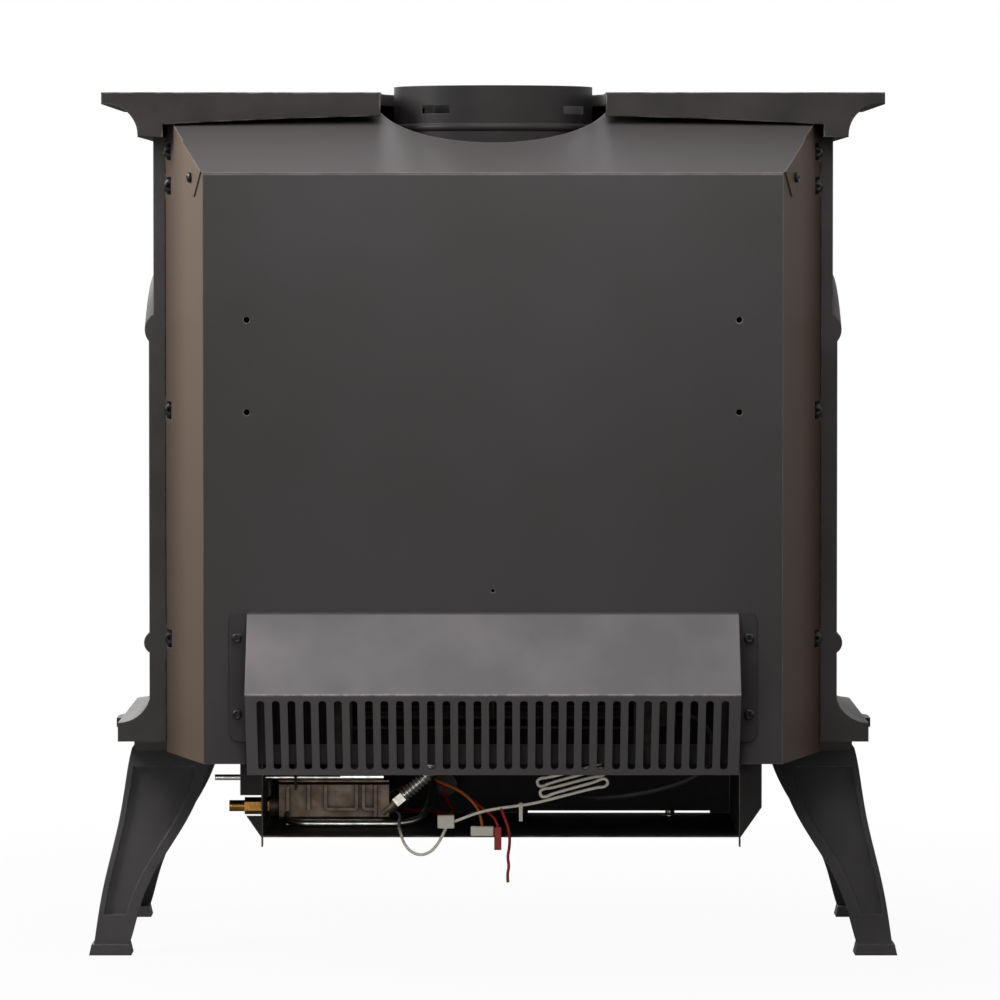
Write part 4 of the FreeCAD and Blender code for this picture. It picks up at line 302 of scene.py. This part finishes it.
# %% Front, fold and flanges of the cover
SLOPE_TO_FRONT = (-0.4, -0.5)    # Z share of the normal
FOLD_Z_MM = 234.4
FOLD_HALF_MM, FOLD_CORE_MM = 1.3, 0.3
SCUFF_MM = 7
SCUFF_RANGE = (0.4, 0.62)        # values of the scuff noise
SCUFF_AND_HIGHLIGHT_AMOUNT = (0.2, 0.8)
FLANGE_Y_MM, FLANGE_FADE_MM = 220.0, 0.8
tree, shader, place, painted = reopen(cover_paint_with_painted_sheen)
where = axes(tree, place)
on_front = ramp(tree, axes(tree, true_normal(tree))["Z"], *SLOPE_TO_FRONT)
# The slotted front, which faces down, gets a lighter copy of the coat: painted light.
front_in_painted_light = mix(tree, on_front, painted, "#5e5b5c")
off_fold = maths(tree, "ABSOLUTE", maths(tree, "SUBTRACT", where["Z"], FOLD_Z_MM * MM))
near_fold = ramp(tree, off_fold, FOLD_HALF_MM * MM, FOLD_CORE_MM * MM)
scuff_and_highlight = ramp(tree, noise(tree, place, SCUFF_MM, 4.0), *SCUFF_RANGE, *SCUFF_AND_HIGHLIGHT_AMOUNT)
# The light line along the fold is partly rubbed wear and partly a painted highlight.
with_fold_wear_and_highlight = mix(tree, maths(tree, "MULTIPLY", near_fold, scuff_and_highlight), front_in_painted_light, "#a39d96")
on_back = ramp(tree, where["Y"], (FLANGE_Y_MM + FLANGE_FADE_MM) * MM, FLANGE_Y_MM * MM)
feed(tree, shader, {"Base Color": mix(tree, on_back, with_fold_wear_and_highlight, "#383536")})
# The front's colour is painted light, and the fold line is partly wear and partly a painted
# highlight.
print("front faded, fold rubbed within", FOLD_HALF_MM, "mm, flanges dark")

# %% [markdown]
# ## Bare metals
# The valve is raw die-cast aluminium, dull and warm. Its gas inlet is turned brass, and the tubes
# are drawn aluminium. Brackets and pins are cold-rolled steel, and the inner flue is the same steel
# under soot. The blower, its mixing tube and the shutter guide are zinc plate darkened as painted
# shade, so that they stay dark behind the slots. Each is a metal with its own colour and a roughness
# that varies over a few millimetres.

# %% Metals
BRIGHT_TO_SHADE = (0.35, 0.65)   # values of the cloud noise


def bare_metal(name, colour, shade, cloud_mm, gloss, stretch=(1, 1, 1), dent_mm=0.0, metallic=1.0):
    made, tree, shader, place = start_finish(name, colour, metallic=metallic)
    along = add_node(tree, "ShaderNodeMapping", {"Scale": stretch}, {"Vector": place})
    cloud = noise(tree, along.outputs["Vector"], cloud_mm, 5.0)
    bump = add_node(tree, "ShaderNodeBump", {"Distance": dent_mm * MM}, {"Height": cloud})
    feed(tree, shader, {"Base Color": mix(tree, ramp(tree, cloud, *BRIGHT_TO_SHADE), colour, shade),
                        "Roughness": ramp(tree, cloud, 0.0, 1.0, *gloss),
                        "Normal": bump.outputs["Normal"]})
    return made


die_cast = bare_metal("raw_die_cast_aluminium", "#7b6b5c", "#615144", 9, (0.42, 0.6), dent_mm=0.08,
                      metallic=0.6)
turned_brass = bare_metal("turned_brass", "#9e753c", "#755427", 4, (0.26, 0.42), stretch=(6, 1, 1),
                          dent_mm=0.03)
drawn_aluminium = bare_metal("drawn_aluminium", "#d8d6d0", "#b9b6ae", 5, (0.22, 0.4), dent_mm=0.02)
rolled_steel = bare_metal("cold_rolled_steel", "#a9a49c", "#86817a", 12, (0.3, 0.5),
                          stretch=(1, 1, 3), dent_mm=0.02)
ribbed_aluminium = bare_metal("corrugated_aluminium", "#ece9e4", "#cfcbc4", 5, (0.3, 0.45),
                              dent_mm=0.02, metallic=0.7)
# Zinc plate darkened as painted shade, so that the blower stays dark behind the slots.
zinc_in_painted_shade = bare_metal("zinc_plate_darkened_as_painted_shade", "#302e2b", "#201e1c", 9, (0.6, 0.8), dent_mm=0.01,
                        metallic=0.5)
sooted_steel = bare_metal("sooted_steel", "#2a2826", "#171514", 12, (0.6, 0.8), dent_mm=0.02,
                          metallic=0.5)
bright_zinc = bare_metal("bright_zinc_plate", "#b9b5ac", "#8f8b83", 3, (0.25, 0.4), dent_mm=0.01)
black_oxide = bare_metal("black_oxide_steel", "#2b2a2a", "#1c1b1b", 3, (0.34, 0.5), dent_mm=0.01,
                         metallic=0.6)
dress(die_cast, "valve_body")
dress(turned_brass, "inlet_fitting")
dress(drawn_aluminium, "pilot_tube", "shutter_rod")
dress(ribbed_aluminium, "flex_tube")
dress(bright_zinc, "flex_nuts")
dress(sooted_steel, "inner_collar")
dress(rolled_steel, "latch_left", "latch_right", "latch_pins", "pilot_burner", "thermopile",
      "valve_bracket", "burner")
dress(zinc_in_painted_shade, "blower_housing", "blower_motor", "blower_rotor", "mixing_tube", "shutter_guide")
dress(black_oxide, "leg_bolts")
print("valve, fittings, tubes, brackets, blower and bolts in bare metal")

# %% [markdown]
# ### Painted shade in the hollows
# The valve casting, the ribbed tube, the nuts and screws, the flue, and the back where the blower
# cover closes it in are darkened in their corners, grooves and recesses: painted shade. An Ambient
# Occlusion node finds these places: where the space over the surface is closed in, the colour turns
# dark.

# %% Painted shade in the hollows
COVER_TOP_MM = 298


def painted_shade(finish, colour, reach_mm, amount, closed=(0.92, 0.5), own=True, below_mm=None):
    """closed is the open share where the painted shade starts and where it is full, own looks at the
    piece alone, and below_mm keeps the painted shade under a height."""
    tree, shader, place, clean = reopen(finish)
    settings = {"Distance": reach_mm * MM, "samples": 8, "only_local": own}
    open_share = add_node(tree, "ShaderNodeAmbientOcclusion", settings).outputs["AO"]
    shade_share = ramp(tree, open_share, *closed, 0.0, amount)
    if below_mm:
        low = maths(tree, "LESS_THAN", axes(tree, place)["Z"], below_mm * MM)
        shade_share = maths(tree, "MULTIPLY", shade_share, low)
    feed(tree, shader, {"Base Color": mix(tree, shade_share, clean, colour)})


# Painted shade in the hollows of the valve, the ribbed tube, the nuts, the screws, the flue and the
# back behind the cover.
painted_shade(die_cast, "#17120e", 5, 0.95)
painted_shade(ribbed_aluminium, "#12100d", 2.5, 0.95)
painted_shade(bright_zinc, "#1d1a16", 3, 0.7)
painted_shade(black_oxide, "#040404", 3, 0.95)
painted_shade(sheet_paint, "#0a0909", 45, 0.92, (0.75, 0.4), own=False, below_mm=COVER_TOP_MM)
painted_shade(collar_paint, "#060505", 60, 0.9, (0.5, 0.25), own=False)
painted_shade(sooted_steel, "#060505", 60, 0.9, (0.5, 0.25), own=False)
print("soot on valve, ribbed tube, nuts and screws, in the flue, and on the back behind the cover")

# %% [markdown]
# ## Plastics, rubber and cloth
# Knobs and the igniter are moulded black plastic with a spark-eroded texture. The wires are
# extruded PVC, whose surface is smooth with a slight waviness. The gasket is woven glass fibre.

# %% Plastics
PLASTIC_SPECULAR = 0.25


def moulded(name, colour, shade, texture_mm, depth_mm, gloss):
    made, tree, shader, place = start_finish(name, colour, roughness=gloss,
                                             specular_ior_level=PLASTIC_SPECULAR)
    texture = noise(tree, place, texture_mm, 2.0)
    bump = add_node(tree, "ShaderNodeBump", {"Distance": depth_mm * MM}, {"Height": texture})
    feed(tree, shader, {"Base Color": mix(tree, texture, colour, shade),
                        "Normal": bump.outputs["Normal"]})
    return made


black_plastic = moulded("spark_textured_black_plastic", "#1c1c1c", "#262525", 0.8, 0.03, 0.5)
white_pvc = moulded("off_white_pvc", "#e6e1d6", "#cbc4b6", 6.0, 0.02, 0.38)
white_nylon = moulded("natural_nylon", "#d3cec4", "#bdb7ab", 3.0, 0.02, 0.42)
orange_pvc = moulded("orange_pvc", "#b0602a", "#8f481e", 5.0, 0.02, 0.4)
red_vinyl = moulded("red_vinyl", "#a01c10", "#74120a", 4.0, 0.03, 0.36)
black_rubber = moulded("black_cable_sheath", "#1b1b1b", "#282727", 4.0, 0.03, 0.55)
glass_fibre = moulded("woven_glass_fibre", "#8d8b84", "#6a6862", 1.4, 0.5, 0.9)
dress(black_plastic, "gas_knob", "flame_knob", "igniter_body", "igniter_button")
dress(white_nylon, "lead_connector", "cable_tie", "flag_terminal")
dress(glass_fibre, "glass_gasket")
dress(white_pvc, "valve_lead", "fan_lead", "wire_hank", "motor_lead")
dress(orange_pvc, "orange_wire")
dress(red_vinyl, "red_terminal", "red_wire", "red_tail")
dress(black_rubber, "black_cable")
print("knobs, igniter, wires, terminals and gasket dressed")

# %% [markdown]
# ## Ceramic glass
# The window is clear ceramic with a faint amber cast. Light goes through, so the logs show.

# %% Glass
ceramic_glass = start_finish("clear_ceramic_glass", "#f4efe6", roughness=0.03,
                             transmission_weight=1.0, ior=1.54)[0]
dress(ceramic_glass, "glass_panel")
print("window in", ceramic_glass.name)

# %% [markdown]
# ## Fire logs
# The logs are ceramic fibre, cast as split, charred wood: rough bark in grey and brown, black
# where the flames touch.

# %% Log finish
BARK_MM, CHAR_MM = 14, 70
BROWN_TO_BLACK = (0.45, 0.62)    # values of the char noise
FINE_BARK_MM = 1.5
log_ceramic, tree, shader, place = start_finish("charred_ceramic_fibre", "#6b5443", roughness=0.92)
bark = noise(tree, place, BARK_MM, 6.0)
burnt = ramp(tree, noise(tree, place, CHAR_MM, 3.0), *BROWN_TO_BLACK)
brown = mix(tree, bark, "#3a2c23", "#a58d78")
rough = add_node(tree, "ShaderNodeBump", {"Distance": FINE_BARK_MM * MM}, {"Height": bark})
feed(tree, shader, {"Base Color": mix(tree, burnt, brown, "#191614"),
                    "Normal": rough.outputs["Normal"]})
print("bark in brown and black")

# %% [markdown]
# ### Copies to work on
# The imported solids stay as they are, so a piece that is to be carved or cut is copied first. The
# packed faces don't share their corners, and the copy's are merged.

# %% Copy and merge
MERGE_MM = 0.01


def pick(*pieces):
    """Selects these pieces alone and makes the first one active."""
    bpy.ops.object.select_all(action="DESELECT")
    for piece in pieces:
        piece.select_set(True)
    bpy.context.view_layer.objects.active = pieces[0]


def merged_copy(node_name, name):
    copy = bpy.data.objects.new(name, nodes[node_name].data.copy())
    copy.matrix_world = nodes[node_name].matrix_world
    scene.collection.objects.link(copy)
    pick(copy)
    bpy.ops.object.mode_set(mode="EDIT")
    bpy.ops.mesh.select_all(action="SELECT")
    bpy.ops.mesh.remove_doubles(threshold=MERGE_MM * MM)
    bpy.ops.object.mode_set(mode="OBJECT")
    return copy


def finish_piece(piece, finish):
    piece.data.materials.clear()
    piece.data.materials.append(finish)


# %% [markdown]
# ### Bark
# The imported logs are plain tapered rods. The copy is cut into even 3 mm faces with a voxel remesh,
# and a Displace modifier carves bark into it. The middle level is one, so it only ever cuts inward
# and the logs stay clear of the grate.

# %% Carve the logs
VOXEL_MM = 3.0
BARK_DEPTH_MM = 6.0
RELIEF_MM = 16
logs = merged_copy("log_set", "carved_logs")
even = logs.modifiers.new("even_faces", "REMESH")
even.mode = "VOXEL"
even.voxel_size = VOXEL_MM * MM
bpy.ops.object.modifier_apply(modifier=even.name)
bark_relief = bpy.data.textures.new("bark_relief", "CLOUDS")
bark_relief.noise_scale = RELIEF_MM * MM
bark_relief.noise_depth = 3
carve = logs.modifiers.new("carve", "DISPLACE")
carve.texture = bark_relief
carve.mid_level = 1.0
carve.strength = BARK_DEPTH_MM * MM
bpy.ops.object.modifier_apply(modifier=carve.name)
bpy.ops.object.shade_smooth()
finish_piece(logs, log_ceramic)
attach(logs, "stove")
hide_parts("log_set")
print("carved logs:", len(logs.data.polygons), "faces")

# %% [markdown]
# ## Screw heads
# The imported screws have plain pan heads. In a copy, a six-sided punch cuts the drive recess into
# each head with a Boolean. The axis of a screw is read from its box: the box is as wide as it is
# high when the screw points straight back, and as wide as it is deep when it points down. The two
# screws in the shroud's ears lean with the slanting sides.

# %% Punch one screw
RECESS_MM = (1.9, 1.5)           # radius to the corners, depth
SAME_MM = 0.2
CROWN_MM = 0.05                  # height of the band that counts as the end of the head
SLANT = Vector((0.965, 0.262, 0)).normalized()


def screw_axis(part):
    corners = [Vector(corner) for corner in part.bound_box]
    low, high = corners[0], corners[6]
    wide, deep, tall = (high - low) / MM
    if abs(wide - tall) < SAME_MM:
        return Vector((0, 1, 0))
    if abs(wide - deep) < SAME_MM:
        return Vector((0, 0, -1))
    return Vector((math.copysign(SLANT.x, low.x), SLANT.y, 0))


def punch(part):
    """Cuts a six-sided recess into the flat end of one screw's head."""
    axis = screw_axis(part)
    corners = [corner.co for corner in part.data.vertices]
    reach = max(corner.dot(axis) for corner in corners)
    crown = [corner for corner in corners if corner.dot(axis) > reach - CROWN_MM * MM]
    radius, depth = RECESS_MM
    bpy.ops.mesh.primitive_cylinder_add(vertices=6, radius=radius * MM, depth=2 * depth * MM,
                                        location=sum(crown, Vector()) / len(crown),
                                        rotation=axis.to_track_quat("Z", "Y").to_euler())
    tool = bpy.context.active_object
    bpy.context.view_layer.objects.active = part
    cut = part.modifiers.new("recess", "BOOLEAN")
    cut.object = tool
    cut.operation = "DIFFERENCE"
    cut.solver = "EXACT"
    bpy.ops.object.modifier_apply(modifier=cut.name)
    bpy.data.objects.remove(tool)


# %% Cut the drive recesses
SMOOTH_BELOW = math.radians(30)


def recessed(node_name):
    copy = merged_copy(node_name, node_name + "_recessed")
    bpy.ops.object.mode_set(mode="EDIT")
    bpy.ops.mesh.select_all(action="SELECT")
    bpy.ops.mesh.separate(type="LOOSE")
    bpy.ops.object.mode_set(mode="OBJECT")
    parts = list(bpy.context.selected_objects)
    for part in parts:
        punch(part)
    pick(copy, *parts)
    bpy.ops.object.join()
    bpy.ops.object.shade_smooth_by_angle(angle=SMOOTH_BELOW)
    finish_piece(copy, black_oxide)
    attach(copy, "stove")
    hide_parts(node_name)
    print(copy.name + ":", len(parts), "screws,", len(copy.data.polygons), "faces")


recessed("sheet_screws")
recessed("casting_screws")

# %% [markdown]
# ## A screw in the tray
# A hex-head screw with a flange stands on the floor of the tray. Its head is a six-sided cylinder
# with a dished top and rounded edges, and the flange is a thin disc under it.

# %% Screw head
SCREW_AT_MM = (-151.7, 5.9, 112.2)
HEAD_MM = (4.6, 4.4)             # radius to the corners, height
FLANGE_MM = (6.2, 1.2)           # radius, height
DISH_MM = (1.4, 0.7)             # rim, depth
ROUND_MM = 0.35
UPWARD = 0.9                     # least Z share of the normal of a top face
SCREW_SMOOTH_BELOW = math.radians(35)


def stacked(sides, size_mm, above_mm):
    """A cylinder on the screw's axis, standing above the floor of the tray."""
    radius, height = size_mm
    x, y, z = SCREW_AT_MM
    bpy.ops.mesh.primitive_cylinder_add(vertices=sides, radius=radius * MM, depth=height * MM,
                                        location=(x * MM, y * MM, (z + above_mm + height / 2) * MM))
    return bpy.context.active_object


flange = stacked(40, FLANGE_MM, 0)
screw = stacked(6, HEAD_MM, FLANGE_MM[1])
screw.name = "tray_screw_head"
bpy.ops.object.mode_set(mode="EDIT")
bpy.ops.mesh.select_all(action="DESELECT")
bpy.ops.object.mode_set(mode="OBJECT")
for face in screw.data.polygons:
    face.select = face.normal.z > UPWARD
bpy.ops.object.mode_set(mode="EDIT")
bpy.ops.mesh.select_mode(type="FACE")
bpy.ops.mesh.inset(thickness=DISH_MM[0] * MM)
bpy.ops.transform.translate(value=(0, 0, -DISH_MM[1] * MM))
bpy.ops.object.mode_set(mode="OBJECT")
pick(screw, flange)
bpy.ops.object.join()
bpy.ops.object.transform_apply(location=True, rotation=True, scale=True)
round_edges = screw.modifiers.new("round_edges", "BEVEL")
round_edges.width = ROUND_MM * MM
round_edges.segments = 2
bpy.ops.object.modifier_apply(modifier=round_edges.name)
bpy.ops.object.shade_smooth_by_angle(angle=SCREW_SMOOTH_BELOW)
finish_piece(screw, bright_zinc)
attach(screw, "stove")
print("screw head:", len(screw.data.polygons), "faces")

# %% [markdown]
# ## The wiring
# Each wire is one smooth NURBS curve along the route of its solid, with a round bevel for its
# sheath. The curve hides the solid.

# %% Routes in millimetres
VALVE_LEAD = ((88, 62, 124), (81, 75, 121.5), (79.5, 91, 120.5), (78.5, 108, 121),
              (78, 127, 121.5), (78.5, 147, 121), (78, 167, 120.5), (78.5, 185, 119),
              (77, 199, 115.5), (74.5, 207, 108), (69, 210, 100.5), (60.5, 211, 97),
              (52, 210.5, 99.5), (46, 209.5, 106), (42, 208.5, 113), (39, 208, 119.5))
FAN_LEAD = ((32, 208, 125), (22, 208, 129), (9, 208.3, 133.5), (-4, 208.6, 136),
            (-16, 208.6, 137.5), (-30, 208.4, 139.4), (-44, 208, 142.5))
MOTOR_TAIL = ((-100, 207, 178), (-113, 202, 184), (-125, 196, 190), (-133, 189, 196),
              (-136, 184, 203))
ORANGE = ((88, 50, 135), (76, 48, 141), (62, 52, 147), (50, 62, 152), (41, 78, 155.5),
          (37, 98, 157.5), (39, 118, 158), (44, 136, 157.5), (48, 152, 157), (47.5, 167, 156),
          (41, 180, 154.5), (32, 189, 151.5), (23, 196, 146.5), (15.5, 200.5, 139.5),
          (10.5, 203.5, 131), (9, 206.5, 121))
RED = ((88, 45, 124), (77, 47, 122), (64, 54, 121), (52, 66, 121.5), (42, 82, 121), (33, 100, 122),
       (34, 116, 127), (38, 132, 136), (42, 146, 145), (43, 159, 151), (38, 172, 152.5),
       (30, 183, 150), (22, 190.5, 145), (13, 195, 138.5), (4, 201, 132), (-2.5, 205, 126.5),
       (-4, 208.5, 120.5))
RED_TAIL = ((-6.5, 208.6, 136.2), (-9, 211.5, 130), (-12.5, 212, 121), (-14, 211.5, 112),
            (-13.5, 210.5, 103.5), (-12, 209.5, 95.5), (-13.4, 209.3, 88), (-11.8, 209, 81),
            (-12.4, 209, 74.5))
BLACK = ((-152, 185, 214), (-164, 187, 213), (-175, 189, 207), (-182, 190.5, 196.5),
         (-183.5, 191, 184), (-180, 191, 172.5), (-171.5, 190.5, 163.5), (-159, 189.5, 157),
         (-145, 188.5, 152), (-122, 187, 146.5), (-101, 183.5, 143.5), (-85, 175, 142),
         (-74, 160, 142), (-66, 138, 142), (-60, 108, 142), (-54.5, 72, 142), (-50.5, 32, 142),
         (-48, -26.3, 142))

# %% [markdown]
# ### The hank
# The spare length of the blower's lead is folded to and fro and tied. A wire folded by hand swells
# at each fold, so every fold has seven points in the shape of a bulb, and bulbs at the same end lie
# one before the other.

# %% Points of the folded hank
HANK_RUNS = 5
HANK_PITCH_MM = 4.4
HANK_LENGTH_MM = 50.0
HANK_TILT = math.radians(15)
# Each point of a bulb: how far past the run's end, and how far above the middle of the fold
BULB_MM = ((-7.0, -2.2), (-1.0, -3.6), (2.6, -2.6), (3.4, 0.0), (2.6, 2.6),
           (-1.0, 3.6), (-7.0, 2.2))
BULB_STAGGER_MM = 1.5


def hank():
    """Points of the folded hank, from the end of the fan lead to the end of the last run."""
    start = Vector(FAN_LEAD[-1])
    along = Vector((-math.cos(HANK_TILT), 0, math.sin(HANK_TILT)))
    up = Vector((math.sin(HANK_TILT), 0, math.cos(HANK_TILT)))
    points = [tuple(start)]
    for fold in range(HANK_RUNS - 1):
        at_far_end = fold % 2 == 0
        depth = BULB_STAGGER_MM if fold < 2 else -BULB_STAGGER_MM
        middle = start + up * (HANK_PITCH_MM * (fold + 0.5)) + Vector((0, depth, 0))
        for past, above in BULB_MM:
            reach = HANK_LENGTH_MM + past if at_far_end else -past
            points.append(tuple(middle + along * reach + up * above))
    points.append(tuple(start + along * HANK_LENGTH_MM + up * (HANK_PITCH_MM * (HANK_RUNS - 1))))
    return points


print("hank:", len(hank()), "points in", HANK_RUNS, "runs")

# %% Lay the wires
def wire(name, route, radius_mm, finish, stands_for):
    curve = bpy.data.curves.new(name, "CURVE")
    curve.dimensions = "3D"
    curve.bevel_depth = radius_mm * MM
    curve.bevel_resolution = 3
    curve.use_fill_caps = True
    spline = curve.splines.new("NURBS")
    spline.points.add(len(route) - 1)
    for point, (x, y, z) in zip(spline.points, route):
        point.co = (x * MM, y * MM, z * MM, 1.0)
    spline.order_u = 3
    spline.use_endpoint_u = True
    spline.resolution_u = 10
    piece = bpy.data.objects.new(name, curve)
    scene.collection.objects.link(piece)
    curve.materials.append(finish)
    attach(piece, "stove")
    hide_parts(*stands_for)
    return piece


LEAD_RADIUS_MM = 1.25
CABLE_RADIUS_MM = 2.5
valve_wire = wire("valve_wire", VALVE_LEAD, LEAD_RADIUS_MM, white_pvc, ["valve_lead"])
blower_route = FAN_LEAD[:-1] + tuple(hank()) + MOTOR_TAIL
blower_wire = wire("blower_wire", blower_route, LEAD_RADIUS_MM, white_pvc,
                   ["fan_lead", "wire_hank", "motor_lead"])
pilot_wire = wire("pilot_wire", ORANGE, LEAD_RADIUS_MM, orange_pvc, ["orange_wire"])
sense_wire = wire("sense_wire", RED, LEAD_RADIUS_MM, red_vinyl, ["red_wire"])
blower_cable = wire("blower_cable", BLACK, CABLE_RADIUS_MM, black_rubber, ["black_cable"])
spare_wire = wire("spare_wire", RED_TAIL, LEAD_RADIUS_MM, red_vinyl, ["red_tail"])
print("wires laid:", [piece.name for piece in (valve_wire, blower_wire, pilot_wire, sense_wire,
                                               blower_cable, spare_wire)])

# %% [markdown]
# ## Studio
# A white floor, a white world and six soft lamps. The main one hangs close above the back, so the
# light falls off down the panel. A lamp at each side lights the slanting sheet, and a low one
# behind lights the tray. The world is white only to the camera, in reflections and through the
# glass, so the background is white without more light on the stove. The floor adds its own light
# only to what the camera sees of it, and it is clear from below, so that the tray can be looked at.

# %% Floor
FLOOR_M = 30
GLOW_FADE_M = (0.4, 1.4)         # distance from the middle of the stove
GLOW_SHARE = (0.95, 1.0)
bpy.ops.mesh.primitive_plane_add(size=FLOOR_M, location=(0, 0, 0))
floor = bpy.context.active_object
floor.name = "studio_floor"
floor_paint, tree, shader, place = start_finish("white_studio_floor", "#8e8e8c", roughness=0.9)
path = add_node(tree, "ShaderNodeLightPath").outputs
away = add_node(tree, "ShaderNodeVectorMath", {"operation": "LENGTH"}, {0: place}).outputs["Value"]
share = maths(tree, "MULTIPLY", path["Is Camera Ray"], ramp(tree, away, *GLOW_FADE_M, *GLOW_SHARE))
glow = add_node(tree, "ShaderNodeEmission", {"Color": linear("#ffffff"), "Strength": 1.0})
glowing = add_node(tree, "ShaderNodeMixShader", None,
                   {0: share, 1: shader.outputs["BSDF"], 2: glow.outputs["Emission"]})
below = add_node(tree, "ShaderNodeNewGeometry").outputs["Backfacing"]
clear = add_node(tree, "ShaderNodeBsdfTransparent")
one_sided = add_node(tree, "ShaderNodeMixShader", None,
                     {0: below, 1: glowing.outputs["Shader"], 2: clear.outputs["BSDF"]})
feed(tree, tree.nodes["Material Output"], {"Surface": one_sided.outputs["Shader"]})
floor.data.materials.append(floor_paint)
print("floor of", FLOOR_M, "m, glowing to the camera")

# %% World
WORLD_LIGHT = 0.08               # strength for all rays that only light the stove
world = bpy.data.worlds.new("white_studio")
scene.world = world
world.use_nodes = True
tree = world.node_tree
path = add_node(tree, "ShaderNodeLightPath").outputs
shown = maths(tree, "MAXIMUM", path["Is Camera Ray"], path["Is Glossy Ray"])
shown = maths(tree, "MAXIMUM", shown, path["Is Transmission Ray"])
background = tree.nodes["Background"]
background.inputs["Color"].default_value = linear("#ffffff")
feed(tree, background, {"Strength": ramp(tree, shown, 0.0, 1.0, WORLD_LIGHT, 1.0)})
print("white world, lighting at", WORLD_LIGHT)


# %% Lamps
def lamp(name, place, target, side, watts):
    data = bpy.data.lights.new(name, "AREA")
    data.size = side
    data.energy = watts
    made = bpy.data.objects.new(name, data)
    scene.collection.objects.link(made)
    made.location = place
    made.rotation_euler = (Vector(target) - Vector(place)).to_track_quat("-Z", "Y").to_euler()


lamp("above_behind", (-0.03, 0.62, 1.13), (0, 0.22, 0.5), 0.6, 7.2)
lamp("behind", (0.5, 3.4, 1.0), (0, 0.2, 0.4), 2.0, 1.6)
lamp("low_behind", (0.15, 1.1, 0.06), (0.05, 0.15, 0.13), 0.4, 1.9)
lamp("left", (1.0, 0.2, 1.1), (0.25, 0.12, 0.45), 0.5, 16.5)
lamp("right", (-1.0, 0.3, 1.1), (-0.25, 0.12, 0.45), 0.5, 2.1)
lamp("front", (0.9, -3.2, 1.9), (0, -0.2, 0.45), 1.8, 70)
print(len(bpy.data.lights), "lamps")
